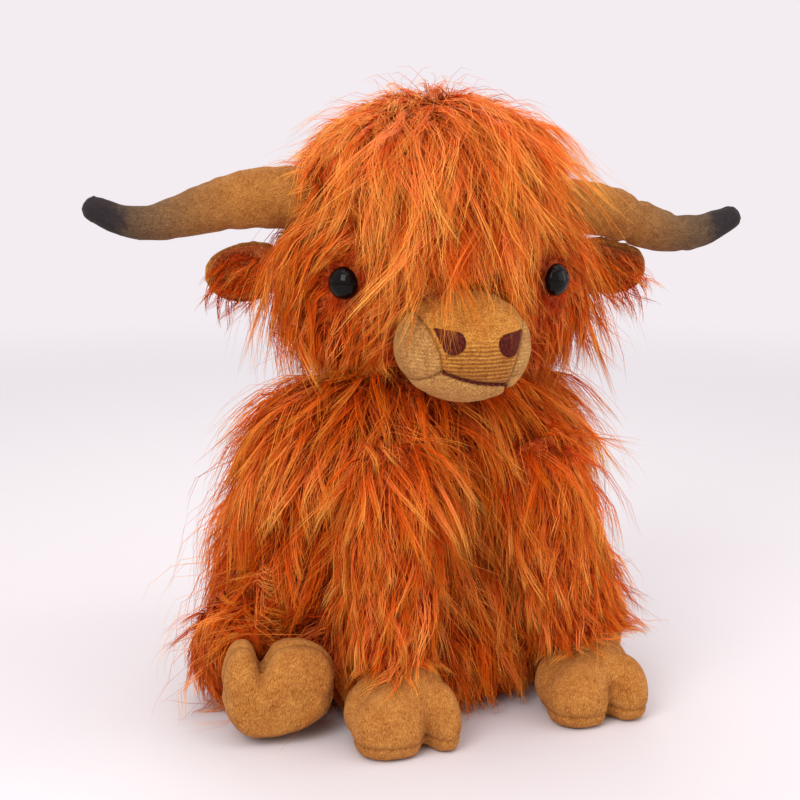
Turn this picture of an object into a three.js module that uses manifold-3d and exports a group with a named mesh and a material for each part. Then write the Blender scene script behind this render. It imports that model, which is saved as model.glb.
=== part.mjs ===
// A plush highland cow, sitting, about 300 mm tall. It faces -Y, +Z is up and +X is the cow's
// left. The origin is the middle of the seat panel, on the surface that the toy sits on.
// Each bag of fabric is a solid at about the outside of its pile. The covers of the torso, the
// head and the muzzle are shells round their fibre filling.

import * as THREE from 'three';
import { mergeVertices } from 'three/addons/utils/BufferGeometryUtils.js';
import Module from 'manifold-3d';

const wasm = await Module();
wasm.setup();

// Clearances, in millimetres, and one overrun for every cutting tool.
const seamGap = 0.3;
const turningGap = 0.7;
const overrun = 6;
const weldDistance = 1e-4;
const sweepSteps = 4;
const stepShare = 1e-3;

// The torso, a pear that leans forward into the neck.
const torso = {
  height: 178, tuck: 11, halfWidth: 93, halfDepth: 76, neckForward: 35, cover: 5,
  sides: 28, rings: 14, fillSides: 16, fillRings: 8,
};
// Share of the height, then of the half width, the half depth and the lean.
const torsoShares = [
  [0, 0.94, 0.94, 0], [0.15, 1, 1, 0], [0.35, 1, 0.98, 0.08], [0.55, 0.96, 0.88, 0.3],
  [0.7, 0.9, 0.78, 0.62], [0.8, 0.83, 0.7, 0.88], [0.88, 0.72, 0.64, 1], [1, 0.54, 0.56, 1],
];
const torsoCapShares = [0.16, 0.2];
const neckDomeShare = 0.8;
const seat = { panel: 3 };
const pelletBag = { halfHeight: 17, rise: 14, roomShare: 0.62, sides: 18, rings: 8 };

// The head, turned a little towards its right, as it sits in its neck seam.
const head = {
  height: 128, sink: 30, halfWidth: 73, halfDepth: 60, turn: THREE.MathUtils.degToRad(-11),
  cover: 5, sides: 26, rings: 14, fillSides: 16, fillRings: 8,
};
const headShares = [
  [0, 0.86, 0.86, 0], [0.25, 0.99, 0.95, 0], [0.45, 1, 1, 0], [0.7, 0.95, 0.99, 0],
  [1, 0.8, 0.88, 0],
];
const headCapShares = [0.5, 0.46];

// The mop of long hair on the crown, and the fringe that falls from it to the muzzle.
const forelock = { height: 66, overhang: 16, halfWidth: 63, halfDepth: 60, sides: 20, rings: 10 };
const forelockShares = [
  [0, 0.96, 1, 0], [0.35, 1, 1, 0], [0.65, 0.95, 0.93, 0], [0.85, 0.78, 0.8, 0], [1, 0.6, 0.62, 0],
];
const forelockCapShares = [0.25, 0.5];
const fringe = { halfWidth: 33, thickness: 9, drop: 52, topShare: 0.86, sides: 14, rings: 7 };

// The muzzle: a nose panel, two cheek panels and a chin panel round their filling.
const muzzle = {
  length: 62, halfWidth: 30.5, halfHeight: 26, heightShare: 0.275, root: 27, droop: 4, cover: 2,
  sides: 24, rings: 12, fillSides: 14, fillRings: 7,
};
const muzzleShares = [
  [0, 0.93, 0.9, 0], [0.4, 1, 1, 0], [0.7, 0.98, 0.95, 0], [1, 0.86, 0.82, 0],
];
const muzzleCapShares = [0.1, 0.36];
// Half of the mouth line, from the middle outwards, in shares of the half width and height.
const mouthShares = [[0, -0.5], [0.24, -0.42], [0.5, -0.27], [0.72, -0.46], [1.3, -0.78]];
// The seam between nose and cheek, from the mouth up.
const cheekSeamShares = [[0.5, -0.27], [0.6, 0.1], [0.72, 0.55], [0.8, 1.3]];
const stitch = { width: 1.8, thickness: 0.9 };
// A nostril's outline, from its round inner end to its point.
const nostril = { width: 13.5, height: 11, acrossShare: 0.42, upShare: 0.2, points: 14 };

const eye = {
  diameter: 15, dome: 6, shank: 3.6, shankLength: 15, heightShare: 0.485, sides: 12, arcSteps: 4,
};
const eyeTurn = { right: THREE.MathUtils.degToRad(46), left: THREE.MathUtils.degToRad(51) };
const washer = { diameter: 17, thickness: 1.6 };

// The horns, from inside the head to the tip: shares of the reach, the rise and the radius.
// Fibre filling leaves no two alike: the left one droops more.
const horn = { reach: 164, rise: 12, radius: 16, heightShare: 0.675, rings: 14, sides: 12 };
const rightHornShares = [
  [0.24, 0.5, 1], [0.35, 0.79, 0.97], [0.46, 1, 0.98], [0.57, 0.86, 0.88], [0.665, 0.55, 0.77],
  [0.75, 0.2, 0.65], [0.825, 0, 0.56], [0.9, 0.17, 0.5], [0.96, 0.55, 0.44], [1, 0.85, 0.4],
];
const leftHornShares = [
  [0.24, 0.25, 1], [0.35, 0.45, 0.93], [0.43, 0.49, 0.87], [0.51, 0.34, 0.85],
  [0.585, -0.04, 0.8], [0.66, -0.42, 0.73], [0.725, -0.64, 0.66], [0.785, -0.66, 0.6],
  [0.84, -0.48, 0.53], [0.885, -0.2, 0.46], [0.915, 0, 0.42], [0.94, 0.2, 0.4],
];
const hornCapShares = [0.04, 0.05];

// The ears: a leaf of two layers, each a flat panel.
const ear = {
  length: 38, width: 32, layer: 3.2, heightShare: 0.53, set: 0.4, gap: 0.4, backTurn: 0.14,
  droop: THREE.MathUtils.degToRad(-13), bulgeShare: 0.42, rootShare: 0.5, fullShare: 1.3,
  curvePoints: 7,
};
const earFlop = { up: THREE.MathUtils.degToRad(6), down: THREE.MathUtils.degToRad(-30) };

// The hooves: a heel and two toes, over a flat sole.
const hoof = {
  halfWidth: 27, length: 49, height: 38, heelLength: 40, toeWidth: 29, toeHeight: 31,
  toeLength: 34, tuck: 8, sole: 2, sides: 14, rings: 8,
};

// The front legs, from the shoulder to the hoof.
const frontLeg = {
  shoulderShare: 0.82, topShare: 0.85, standOut: 6, radius: 22, hoofForward: 93, overHoof: 12,
  bow: 3, sides: 14, rings: 9,
};
const shoulderTurns = {
  right: THREE.MathUtils.degToRad(-60), left: THREE.MathUtils.degToRad(-70),
};
const frontAcross = { right: 41, left: 57 };
const frontLegShares = [
  [0, 1, 1, 0], [0.3, 1.02, 1.02, 0], [0.65, 0.96, 0.96, 0], [1, 0.86, 0.9, 0],
];
const frontLegCapShares = [0.2, 0.16];
const frontLift = THREE.MathUtils.degToRad(45);

// The hind legs, from the hip forward along the floor. The right one is spread wider. The left
// one lies behind the front leg, which it meets sooner when it lifts.
const hindLeg = {
  hipShare: 0.255, hipTurn: THREE.MathUtils.degToRad(-4), radius: 33, clearOfFloor: 2,
  ankleShare: 0.64, hoofBack: 17, sides: 14, rings: 9,
};
const hindPlaces = {
  right: { sinkIn: 9, across: 94, forward: 60, spread: THREE.MathUtils.degToRad(-14) },
  left: { sinkIn: 18, across: 75, forward: 41, spread: THREE.MathUtils.degToRad(2) },
};
const hindLegShares = [
  [0, 1, 1, 0], [0.35, 1.03, 1, 0], [0.7, 0.84, 0.82, 0], [1, 0.66, hindLeg.ankleShare, 0],
];
const hindLegCapShares = [0.34, 0.2];
const hindLifts = {
  right: THREE.MathUtils.degToRad(40), left: THREE.MathUtils.degToRad(18),
};

// The tail, a thin bag that hangs down the back, with a tuft.
const tail = {
  rootShare: 0.46, radius: 7, length: 58, stand: 9, endStand: 13.5, sides: 12, rings: 9,
};
const tailShares = [[0, 1, 1, 0], [0.5, 0.9, 0.9, 0], [1, 0.8, 0.8, 0]];
const tailCapShares = [0.14, 0.1];
const tuft = { radius: 11, length: 40, overlap: 8 };
const tuftShares = [[0, 0.7, 0.7, 0], [0.5, 1, 1, 0], [1, 0.4, 0.4, 0]];
const tuftCapShares = [0.2, 0.3];
const tailLift = THREE.MathUtils.degToRad(60);

const colours = {
  fur: 0xc65f22, deepFur: 0xa84a18, tan: 0xc2955c, dark: 0x4a2318, black: 0x0d0b0c,
  white: 0xe9e4da, clear: 0xcfd2d2,
};

const X = new THREE.Vector3(1, 0, 0);
const Y = new THREE.Vector3(0, 1, 0);

// Solids and booleans.

function solidOf(geometry) {
  const bare = geometry.clone();
  bare.deleteAttribute('normal');
  bare.deleteAttribute('uv');
  const merged = mergeVertices(bare, weldDistance);
  const vertProperties = new Float32Array(merged.attributes.position.array);
  const triVerts = new Uint32Array(merged.index.array);
  return new wasm.Manifold(new wasm.Mesh({ numProp: 3, vertProperties, triVerts }));
}

function placed(geometry, place) {
  return solidOf(geometry.clone().applyMatrix4(place));
}

function cut(body, ...tools) {
  return tools.reduce((rest, tool) => rest.subtract(tool), body);
}

function join(...bodies) {
  return bodies.reduce((sum, body) => sum.add(body));
}

function moved(body, place) {
  return body.transform(place.elements);
}

function largest(body) {
  return body.decompose().reduce((best, one) => (one.volume() > best.volume() ? one : best));
}

function turnAbout(point, axis, angle) {
  const back = new THREE.Matrix4().makeTranslation(-point.x, -point.y, -point.z);
  const turn = new THREE.Matrix4().makeRotationAxis(axis, angle);
  const out = new THREE.Matrix4().makeTranslation(point.x, point.y, point.z);
  return out.multiply(turn).multiply(back);
}

// What the tool sweeps, seen from a piece that turns by the angles from one to the other.
function swept(tool, point, axis, from, to) {
  const places = [];
  for (let step = 0; step <= sweepSteps; step += 1) {
    const angle = from + ((to - from) * step) / sweepSteps;
    places.push(moved(tool, turnAbout(point, axis, -angle)));
  }
  return join(...places);
}

// A stuffed bag: rings along a route, that swell by a table of shares and close at both ends.

function table(rows) {
  const width = rows[0].length - 1;
  const reader = new THREE.CubicInterpolant(
    new Float32Array(rows.map((row) => row[0])),
    new Float32Array(rows.flatMap((row) => row.slice(1))),
    width,
    new Float32Array(width),
  );
  return (share) => reader.evaluate(THREE.MathUtils.clamp(share, 0, 1));
}

function capAt(share, [first, last]) {
  const near = Math.min(1, share / first, (1 - share) / last);
  return Math.sqrt(Math.max(0, 1 - (1 - near) ** 2));
}

function bag({ centre, side = X, shares, caps, halfWidth, halfDepth, sides, rings }) {
  const swell = table(shares);
  const at = (share, turn, grow = 0) => {
    const middle = centre(share);
    const ahead = centre(Math.min(1, share + stepShare));
    const along = ahead.sub(centre(Math.max(0, share - stepShare))).normalize();
    const across = side.clone().addScaledVector(along, -side.dot(along)).normalize();
    const depth = new THREE.Vector3().crossVectors(along, across);
    const [wide, deep] = swell(share);
    const cap = capAt(share, caps);
    const ring = 2 * Math.sqrt(Math.max(0, share * (1 - share)));
    return middle
      .addScaledVector(across, Math.cos(turn) * (halfWidth * wide * cap + grow * ring))
      .addScaledVector(depth, Math.sin(turn) * (halfDepth * deep * cap + grow * ring))
      .addScaledVector(along, grow * (2 * share - 1));
  };
  const geometry = (grow = 0, count = sides, rows = rings) => {
    const ball = new THREE.SphereGeometry(1, count, rows);
    const spots = ball.attributes.position;
    for (let i = 0; i < spots.count; i += 1) {
      const share = THREE.MathUtils.clamp((1 - spots.getY(i)) / 2, 0, 1);
      const spot = at(share, Math.atan2(spots.getZ(i), spots.getX(i)), grow);
      spots.setXYZ(i, spot.x, spot.y, spot.z);
    }
    return ball;
  };
  const solid = (grow = 0, count = sides, rows = rings) => solidOf(geometry(grow, count, rows));
  return { at, centre, solid };
}

function upright(size, rows, forward, bottom) {
  const lean = table(rows);
  return (share) => new THREE.Vector3(0, -forward * lean(share)[2], bottom + size * share);
}

function block(low, high) {
  const size = high.clone().sub(low);
  const box = new THREE.BoxGeometry(size.x, size.y, size.z);
  const middle = low.clone().add(high).multiplyScalar(1 / 2);
  return solidOf(box.translate(middle.x, middle.y, middle.z));
}

const reach = horn.reach + head.halfDepth;
const underFloor = block(
  new THREE.Vector3(-reach, -reach, -torso.height), new THREE.Vector3(reach, reach, 0),
);

// Torso, with its filling, pellet bag and seat panel.

const torsoBag = bag({
  ...torso, shares: torsoShares, caps: torsoCapShares,
  centre: upright(torso.height + torso.tuck, torsoShares, torso.neckForward, -torso.tuck),
});
const torsoFree = torsoBag.solid(turningGap);

function torsoInside(wall) {
  return torsoBag.solid(-wall, torso.fillSides, torso.fillRings);
}

function seatPanel() {
  const opening = torsoInside(torso.cover + seamGap);
  const slab = block(
    new THREE.Vector3(-reach, -reach, 0), new THREE.Vector3(reach, reach, seat.panel),
  );
  return opening.intersect(slab);
}

function pellets() {
  const place = new THREE.Matrix4().makeScale(
    torso.halfWidth * pelletBag.roomShare, torso.halfDepth * pelletBag.roomShare,
    pelletBag.halfHeight,
  );
  place.setPosition(0, 0, pelletBag.rise);
  const ball = new THREE.SphereGeometry(1, pelletBag.sides, pelletBag.rings).rotateX(Math.PI / 2);
  return { solid: placed(ball, place), room: placed(ball, grown(place, seamGap)) };
}

function grown(place, gap) {
  const where = new THREE.Vector3();
  const how = new THREE.Quaternion();
  const size = new THREE.Vector3();
  place.decompose(where, how, size);
  return new THREE.Matrix4().compose(where, how, size.addScalar(gap));
}

// Head, in its own upright frame: the turn in the neck seam comes last.

const headBottom = torso.height - head.sink;
const neck = new THREE.Vector3(0, -torso.neckForward, headBottom);
const headBag = bag({
  ...head, shares: headShares, caps: headCapShares,
  centre: (share) => new THREE.Vector3(0, neck.y, headBottom + head.height * share),
});
const headSeat = headBag.solid(seamGap);

// The neck's top, as a turned shape on the neck's axis that clears the torso all round.
function neckDome() {
  const profile = [new THREE.Vector2(0, headBottom - overrun)];
  const from = neckDomeShare;
  for (let step = 0; step < torso.rings; step += 1) {
    const share = from + ((1 - from) * step) / torso.rings;
    const edge = torsoBag.at(share, 0, turningGap);
    const back = torsoBag.at(share, Math.PI / 2, turningGap);
    const radius = Math.max(edge.x, back.y - neck.y) / Math.cos(Math.PI / torso.sides);
    if (step === 0) profile.push(new THREE.Vector2(radius, headBottom - overrun));
    profile.push(new THREE.Vector2(radius, edge.z));
  }
  profile.push(new THREE.Vector2(0, torso.height + turningGap));
  const dome = new THREE.LatheGeometry(profile, torso.sides);
  return solidOf(dome.rotateX(Math.PI / 2).translate(0, neck.y, 0));
}
const dome = neckDome();

const forelockBag = bag({
  ...forelock, shares: forelockShares, caps: forelockCapShares,
  centre: (share) => new THREE.Vector3(
    0, neck.y, headBottom + head.height + forelock.overhang + forelock.height * (share - 1),
  ),
});

const muzzleMiddle = headBottom + head.height * muzzle.heightShare;
const muzzleBag = bag({
  ...muzzle, halfDepth: muzzle.halfHeight, shares: muzzleShares, caps: muzzleCapShares,
  centre: (share) => new THREE.Vector3(
    0,
    neck.y - muzzle.root - muzzle.length * share,
    muzzleMiddle + muzzle.droop * (1 / 2 - share),
  ),
});

function fringeBag() {
  const top = headBag.at(fringe.topShare, -Math.PI / 2);
  const low = headBag.at(
    fringe.topShare - fringe.drop / head.height, -Math.PI / 2, fringe.thickness / 2,
  );
  const middle = headBag.at(
    fringe.topShare - fringe.drop / head.height / 2, -Math.PI / 2, fringe.thickness / 2,
  );
  const route = new THREE.CatmullRomCurve3([top, middle, low]);
  return bag({
    ...fringe, halfDepth: fringe.thickness, shares: forelockShares, caps: forelockCapShares,
    centre: (share) => route.getPoint(share),
  });
}

function hairSolid(horns) {
  const mop = join(forelockBag.solid(), fringeBag().solid());
  return largest(cut(mop, headSeat, muzzleBag.solid(seamGap), ...horns));
}

function extruded(outline, depth) {
  const shape = new THREE.Shape(outline);
  return new THREE.ExtrudeGeometry(shape, { depth, bevelEnabled: false, steps: 1 });
}

// An outline on the muzzle's front, in width and height, as a tool that runs through its length.
function muzzleTool(outline) {
  const tool = extruded(outline, muzzle.length + 2 * overrun).rotateX(Math.PI / 2);
  return solidOf(tool.translate(0, neck.y - muzzle.root + overrun, muzzleMiddle));
}

function frontPoint([across, up]) {
  return new THREE.Vector2(muzzle.halfWidth * across, muzzle.halfHeight * up);
}

function mirrored(points) {
  return points.map((point) => new THREE.Vector2(-point.x, point.y));
}

function mouthLine(lift = 0) {
  const half = mouthShares.map(frontPoint).map((point) => point.add(new THREE.Vector2(0, lift)));
  return [...mirrored(half).reverse().slice(0, -1), ...half];
}

function chinTool(lift) {
  const line = mouthLine(lift);
  const low = -muzzle.halfHeight - overrun;
  const ends = [line[line.length - 1], line[0]].map((point) => new THREE.Vector2(point.x, low));
  return muzzleTool([...line, ...ends]);
}

function cheekTool(side, gap) {
  const seam = cheekSeamShares.map(frontPoint);
  const far = 2 * muzzle.halfWidth;
  const low = -muzzle.halfHeight - overrun;
  const outline = [
    new THREE.Vector2(seam[0].x, low), ...seam, new THREE.Vector2(far, seam[seam.length - 1].y),
    new THREE.Vector2(far, low),
  ].map((point) => point.add(new THREE.Vector2(gap, 0)));
  return muzzleTool(side < 0 ? mirrored(outline) : outline);
}

function muzzlePanels() {
  const inside = muzzleBag.solid(-muzzle.cover, muzzle.fillSides, muzzle.fillRings);
  const shell = cut(muzzleBag.solid(), inside, headSeat, dome);
  const upper = cut(shell, chinTool(0));
  return {
    muzzle_nose_panel: largest(cut(upper, cheekTool(-1, 0), cheekTool(1, 0))),
    muzzle_cheek_right: largest(upper.intersect(cheekTool(-1, seamGap))),
    muzzle_cheek_left: largest(upper.intersect(cheekTool(1, seamGap))),
    muzzle_chin_panel: largest(shell.intersect(chinTool(-seamGap))),
  };
}

function muzzleFilling() {
  const wall = -muzzle.cover - seamGap;
  return largest(cut(muzzleBag.solid(wall, muzzle.fillSides, muzzle.fillRings), headSeat, dome));
}

// Embroidery: a thin layer on the muzzle, inside an outline.
function embroidered(tool) {
  const layer = cut(muzzleBag.solid(seamGap + stitch.thickness), muzzleBag.solid(seamGap));
  return largest(cut(layer.intersect(tool), headSeat));
}

function nostrilTool(side) {
  const outline = [];
  for (let step = 0; step < nostril.points; step += 1) {
    const angle = (2 * Math.PI * step) / nostril.points;
    const taper = Math.sin(angle / 2);
    outline.push(new THREE.Vector2(
      side * (muzzle.halfWidth * nostril.acrossShare + (nostril.width / 2) * Math.cos(angle)),
      muzzle.halfHeight * nostril.upShare
        + (nostril.height / 2) * (Math.sin(angle) * taper + Math.cos(angle) / 2),
    ));
  }
  return muzzleTool(side < 0 ? outline.reverse() : outline);
}

function mouthTool() {
  const upper = mouthLine(stitch.width / 2);
  const lower = mouthLine(-stitch.width / 2).reverse();
  return muzzleTool([...lower, ...upper]);
}

// Safety eyes: a dome and its shank, through the cover into a washer.

function eyePlace(name) {
  const turn = name === 'right' ? Math.PI + eyeTurn.right : -eyeTurn.left;
  const spot = headBag.at(eye.heightShare, turn);
  const outward = spot.clone().sub(headBag.at(eye.heightShare, turn, -head.cover)).normalize();
  const turned = new THREE.Quaternion().setFromUnitVectors(Y, outward);
  return new THREE.Matrix4().compose(spot, turned, new THREE.Vector3(1, 1, 1));
}

function eyeGeometry(gap = 0) {
  const radius = eye.diameter / 2;
  const points = [new THREE.Vector2(0, -eye.shankLength - gap)];
  points.push(new THREE.Vector2(eye.shank / 2 + gap, -eye.shankLength - gap));
  points.push(new THREE.Vector2(eye.shank / 2 + gap, seamGap - gap));
  for (let step = 0; step < eye.arcSteps; step += 1) {
    const angle = (Math.PI / 2) * (step / eye.arcSteps);
    points.push(new THREE.Vector2(
      (radius + gap) * Math.cos(angle), seamGap - gap + (eye.dome + gap) * Math.sin(angle),
    ));
  }
  points.push(new THREE.Vector2(0, seamGap + eye.dome));
  return new THREE.LatheGeometry(points, eye.sides);
}

function washerGeometry(gap = 0) {
  const inner = eye.shank / 2 + seamGap - gap;
  const outer = washer.diameter / 2 + gap;
  const top = -head.cover - 2 * seamGap + gap;
  const bottom = top - washer.thickness - 2 * gap;
  const points = [[inner, bottom], [outer, bottom], [outer, top], [inner, top], [inner, bottom]];
  return new THREE.LatheGeometry(
    points.map(([radius, high]) => new THREE.Vector2(radius, high)), eye.sides,
  );
}

function headParts() {
  const parts = {};
  const eyeRooms = [];
  const washerRooms = [];
  for (const name of Object.keys(eyeTurn)) {
    const place = eyePlace(name);
    parts[`eye_${name}`] = placed(eyeGeometry(), place);
    parts[`eye_washer_${name}`] = placed(washerGeometry(), place);
    eyeRooms.push(placed(eyeGeometry(seamGap), place));
    washerRooms.push(placed(washerGeometry(seamGap), place));
  }
  const inside = headBag.solid(-head.cover, head.fillSides, head.fillRings);
  parts.head_cover = largest(cut(headBag.solid(), inside, dome, ...eyeRooms, ...washerRooms));
  const filling = headBag.solid(-head.cover - seamGap, head.fillSides, head.fillRings);
  parts.head_filling = largest(cut(filling, dome, ...eyeRooms, ...washerRooms));
  return parts;
}

// Horns, cut by the head.

function hornBag(side, rows) {
  const route = new THREE.SplineCurve(
    rows.map(([out, up]) => new THREE.Vector2(horn.reach * out, horn.rise * up)),
  );
  const last = rows.length - 1;
  const rootHeight = headBottom + head.height * horn.heightShare;
  return bag({
    ...horn, side: Y, halfWidth: horn.radius, halfDepth: horn.radius, caps: hornCapShares,
    shares: rows.map(([, , swell], index) => [index / last, swell, swell, 0]),
    centre: (share) => {
      const spot = route.getPoint(THREE.MathUtils.clamp(share, 0, 1));
      return new THREE.Vector3(side * spot.x, neck.y, rootHeight + spot.y);
    },
  });
}

// Ears: two leaf-shaped layers that turn about their root.

function earRoot(side) {
  const turn = side < 0 ? Math.PI - ear.backTurn : ear.backTurn;
  return headBag.at(ear.heightShare, turn, ear.set);
}

function leaf() {
  const half = ear.width / 2;
  const bulge = ear.length * ear.bulgeShare;
  const shape = new THREE.Shape();
  shape.moveTo(0, -half * ear.rootShare);
  shape.bezierCurveTo(bulge / 2, -half * ear.fullShare, ear.length, -half, ear.length, 0);
  shape.bezierCurveTo(ear.length, half, bulge / 2, half * ear.fullShare, 0, half * ear.rootShare);
  shape.closePath();
  return shape;
}

function earLayer(side, from, to, hornSolid) {
  // The right ear is turned half round, so its layers are laid the other way up.
  const [low, high] = side < 0 ? [-to, -from] : [from, to];
  const settings = { depth: high - low, bevelEnabled: false, curveSegments: ear.curvePoints };
  const layer = new THREE.ExtrudeGeometry(leaf(), settings).translate(0, 0, low);
  const root = earRoot(side);
  const place = new THREE.Matrix4().makeRotationX(Math.PI / 2);
  place.premultiply(new THREE.Matrix4().makeRotationY(-ear.droop));
  if (side < 0) place.premultiply(new THREE.Matrix4().makeRotationZ(Math.PI));
  place.setPosition(root.x, root.y, root.z);
  const carrier = headBag.solid(ear.gap).add(hornSolid);
  const clear = swept(carrier, root, Y, -side * earFlop.up, -side * earFlop.down);
  return largest(cut(placed(layer, place), clear));
}

// Hooves, in a frame of their own: the sole is at z = 0 and the toes point to -Y.

function lobe(middle, size) {
  const ball = new THREE.SphereGeometry(1, hoof.sides, hoof.rings).rotateX(Math.PI / 2);
  const place = new THREE.Matrix4().makeScale(size.x, size.y, size.z);
  return placed(ball, place.setPosition(middle));
}

function hoofForm(grow = 0) {
  const toe = new THREE.Vector3(hoof.toeWidth, hoof.toeLength, hoof.toeHeight + hoof.tuck);
  const heel = new THREE.Vector3(2 * hoof.halfWidth, hoof.heelLength, hoof.height + hoof.tuck);
  toe.divideScalar(2);
  heel.divideScalar(2);
  const front = -hoof.length / 2;
  const lobes = [-1, 1].map((side) => [
    new THREE.Vector3(side * (hoof.halfWidth - toe.x), front + toe.y, hoof.toeHeight - toe.z), toe,
  ]);
  lobes.push([new THREE.Vector3(0, -front - heel.y, hoof.height - heel.z), heel]);
  return join(...lobes.map(([middle, size]) => lobe(middle, size.clone().addScalar(grow))));
}

function slab(low, high) {
  return block(
    new THREE.Vector3(-hoof.length, -hoof.length, low),
    new THREE.Vector3(hoof.length, hoof.length, high),
  );
}

function hoofParts(name, place, clear) {
  const upper = cut(hoofForm(), slab(-hoof.height, hoof.sole + seamGap));
  const sole = hoofForm().intersect(slab(0, hoof.sole));
  return {
    [`${name}_hoof`]: largest(cut(moved(upper, place), clear)),
    [`${name}_sole`]: largest(cut(moved(sole, place), clear)),
  };
}

// Front legs.

function frontLegParts(name, side, across) {
  const shoulder = shoulderAt(frontLeg.topShare, side, frontLeg.standOut);
  const ankle = new THREE.Vector3(
    side * across, -frontLeg.hoofForward + hoof.length / 4, hoof.height - frontLeg.overHoof,
  );
  const knee = shoulder.clone().lerp(ankle, 1 / 2).add(new THREE.Vector3(0, -frontLeg.bow, 0));
  const route = new THREE.CatmullRomCurve3([shoulder, knee, ankle]);
  const leg = bag({
    ...frontLeg, halfWidth: frontLeg.radius, halfDepth: frontLeg.radius,
    shares: frontLegShares, caps: frontLegCapShares, centre: (share) => route.getPoint(share),
  });
  const hinge = shoulderAt(frontLeg.shoulderShare, side);
  const clear = swept(torsoFree, hinge, X, -frontLift, 0);
  const place = new THREE.Matrix4().makeTranslation(side * across, -frontLeg.hoofForward, 0);
  const parts = hoofParts(name, place, clear);
  const hoofRoom = moved(hoofForm(seamGap), place);
  parts[name] = largest(cut(leg.solid(), clear, hoofRoom));
  return parts;
}

function shoulderAt(share, side, out = 0) {
  const turn = side < 0 ? Math.PI - shoulderTurns.right : shoulderTurns.left;
  return torsoBag.at(share, turn, out);
}

// Hind legs. The hoof lies on its heel, with its sole forward and its toes up.

function hindLegParts(name, side, { sinkIn, across, forward, spread }) {
  const start = hipAt(side, -sinkIn).setZ(hindLeg.radius + hindLeg.clearOfFloor);
  const low = hindLeg.radius * hindLeg.ankleShare + hindLeg.clearOfFloor;
  const ankle = new THREE.Vector3(side * across, -forward + hindLeg.hoofBack, low);
  const knee = start.clone().lerp(ankle, 1 / 2);
  const route = new THREE.CatmullRomCurve3([start, knee, ankle]);
  const leg = bag({
    ...hindLeg, halfWidth: hindLeg.radius, halfDepth: hindLeg.radius,
    shares: hindLegShares, caps: hindLegCapShares, centre: (share) => route.getPoint(share),
  });
  const lift = side < 0 ? hindLifts.right : hindLifts.left;
  const clear = swept(torsoFree, hipAt(side), X, -lift, 0);
  const stand = new THREE.Matrix4().makeRotationX(-Math.PI / 2);
  stand.premultiply(new THREE.Matrix4().makeRotationZ(spread));
  stand.setPosition(side * across, -forward - hoof.height / 2, hoof.length / 2);
  const parts = hoofParts(name, stand, clear);
  const hoofRoom = moved(hoofForm(seamGap), stand);
  parts[name] = largest(cut(leg.solid(), clear, hoofRoom, underFloor));
  return parts;
}

function hipAt(side, out = 0) {
  const turn = side < 0 ? Math.PI - hindLeg.hipTurn : hindLeg.hipTurn;
  return torsoBag.at(hindLeg.hipShare, turn, out);
}

// Tail.

function tailParts() {
  const root = tailHinge();
  const bend = root.clone().add(new THREE.Vector3(0, tail.stand, -tail.length / 2));
  const end = root.clone().add(new THREE.Vector3(0, tail.endStand, -tail.length));
  const route = new THREE.CatmullRomCurve3([root, bend, end]);
  const cord = bag({
    ...tail, halfWidth: tail.radius, halfDepth: tail.radius, shares: tailShares,
    caps: tailCapShares, centre: (share) => route.getPoint(share),
  });
  const top = end.clone().add(new THREE.Vector3(0, 0, tuft.overlap));
  const hair = bag({
    ...tail, halfWidth: tuft.radius, halfDepth: tuft.radius, shares: tuftShares,
    caps: tuftCapShares,
    centre: (share) => top.clone().add(new THREE.Vector3(0, 0, -tuft.length * share)),
  });
  const clear = swept(torsoFree, root, X, 0, tailLift);
  return {
    tail: largest(cut(cord.solid(), clear, hair.solid(seamGap))),
    tail_tuft: largest(cut(hair.solid(), clear, underFloor)),
  };
}

function tailHinge() {
  return torsoBag.at(tail.rootShare, Math.PI / 2, tail.radius / 2);
}

// The whole toy.

const looks = {
  fur: new THREE.MeshStandardMaterial({ color: colours.fur, roughness: 0.9, metalness: 0 }),
  deepFur: new THREE.MeshStandardMaterial({ color: colours.deepFur, roughness: 0.9, metalness: 0 }),
  tan: new THREE.MeshStandardMaterial({ color: colours.tan, roughness: 0.85, metalness: 0 }),
  dark: new THREE.MeshStandardMaterial({ color: colours.dark, roughness: 0.7, metalness: 0 }),
  black: new THREE.MeshStandardMaterial({ color: colours.black, roughness: 0.1, metalness: 0 }),
  white: new THREE.MeshStandardMaterial({ color: colours.white, roughness: 0.95, metalness: 0 }),
  clear: new THREE.MeshStandardMaterial({ color: colours.clear, roughness: 0.5, metalness: 0 }),
};

function meshOf(name, body, look) {
  const { vertProperties, triVerts } = body.getMesh();
  const geometry = new THREE.BufferGeometry();
  geometry.setAttribute('position', new THREE.BufferAttribute(vertProperties, 3));
  geometry.setIndex(new THREE.BufferAttribute(triVerts, 1));
  const flat = geometry.toNonIndexed();
  flat.computeVertexNormals();
  const mesh = new THREE.Mesh(flat, looks[look].clone());
  mesh.name = name;
  return mesh;
}

function addAll(group, parts, lookOf) {
  for (const [name, body] of Object.entries(parts)) group.add(meshOf(name, body, lookOf(name)));
}

function limbLook(name) {
  return /hoof|sole/.test(name) ? 'tan' : 'fur';
}

function headLook(name) {
  if (/washer/.test(name)) return 'clear';
  if (/filling/.test(name)) return 'white';
  if (/eye/.test(name)) return 'black';
  if (/nostril|mouth/.test(name)) return 'dark';
  if (/muzzle|horn|back/.test(name)) return 'tan';
  return /ear_front/.test(name) ? 'deepFur' : 'fur';
}

const group = new THREE.Group();

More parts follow.
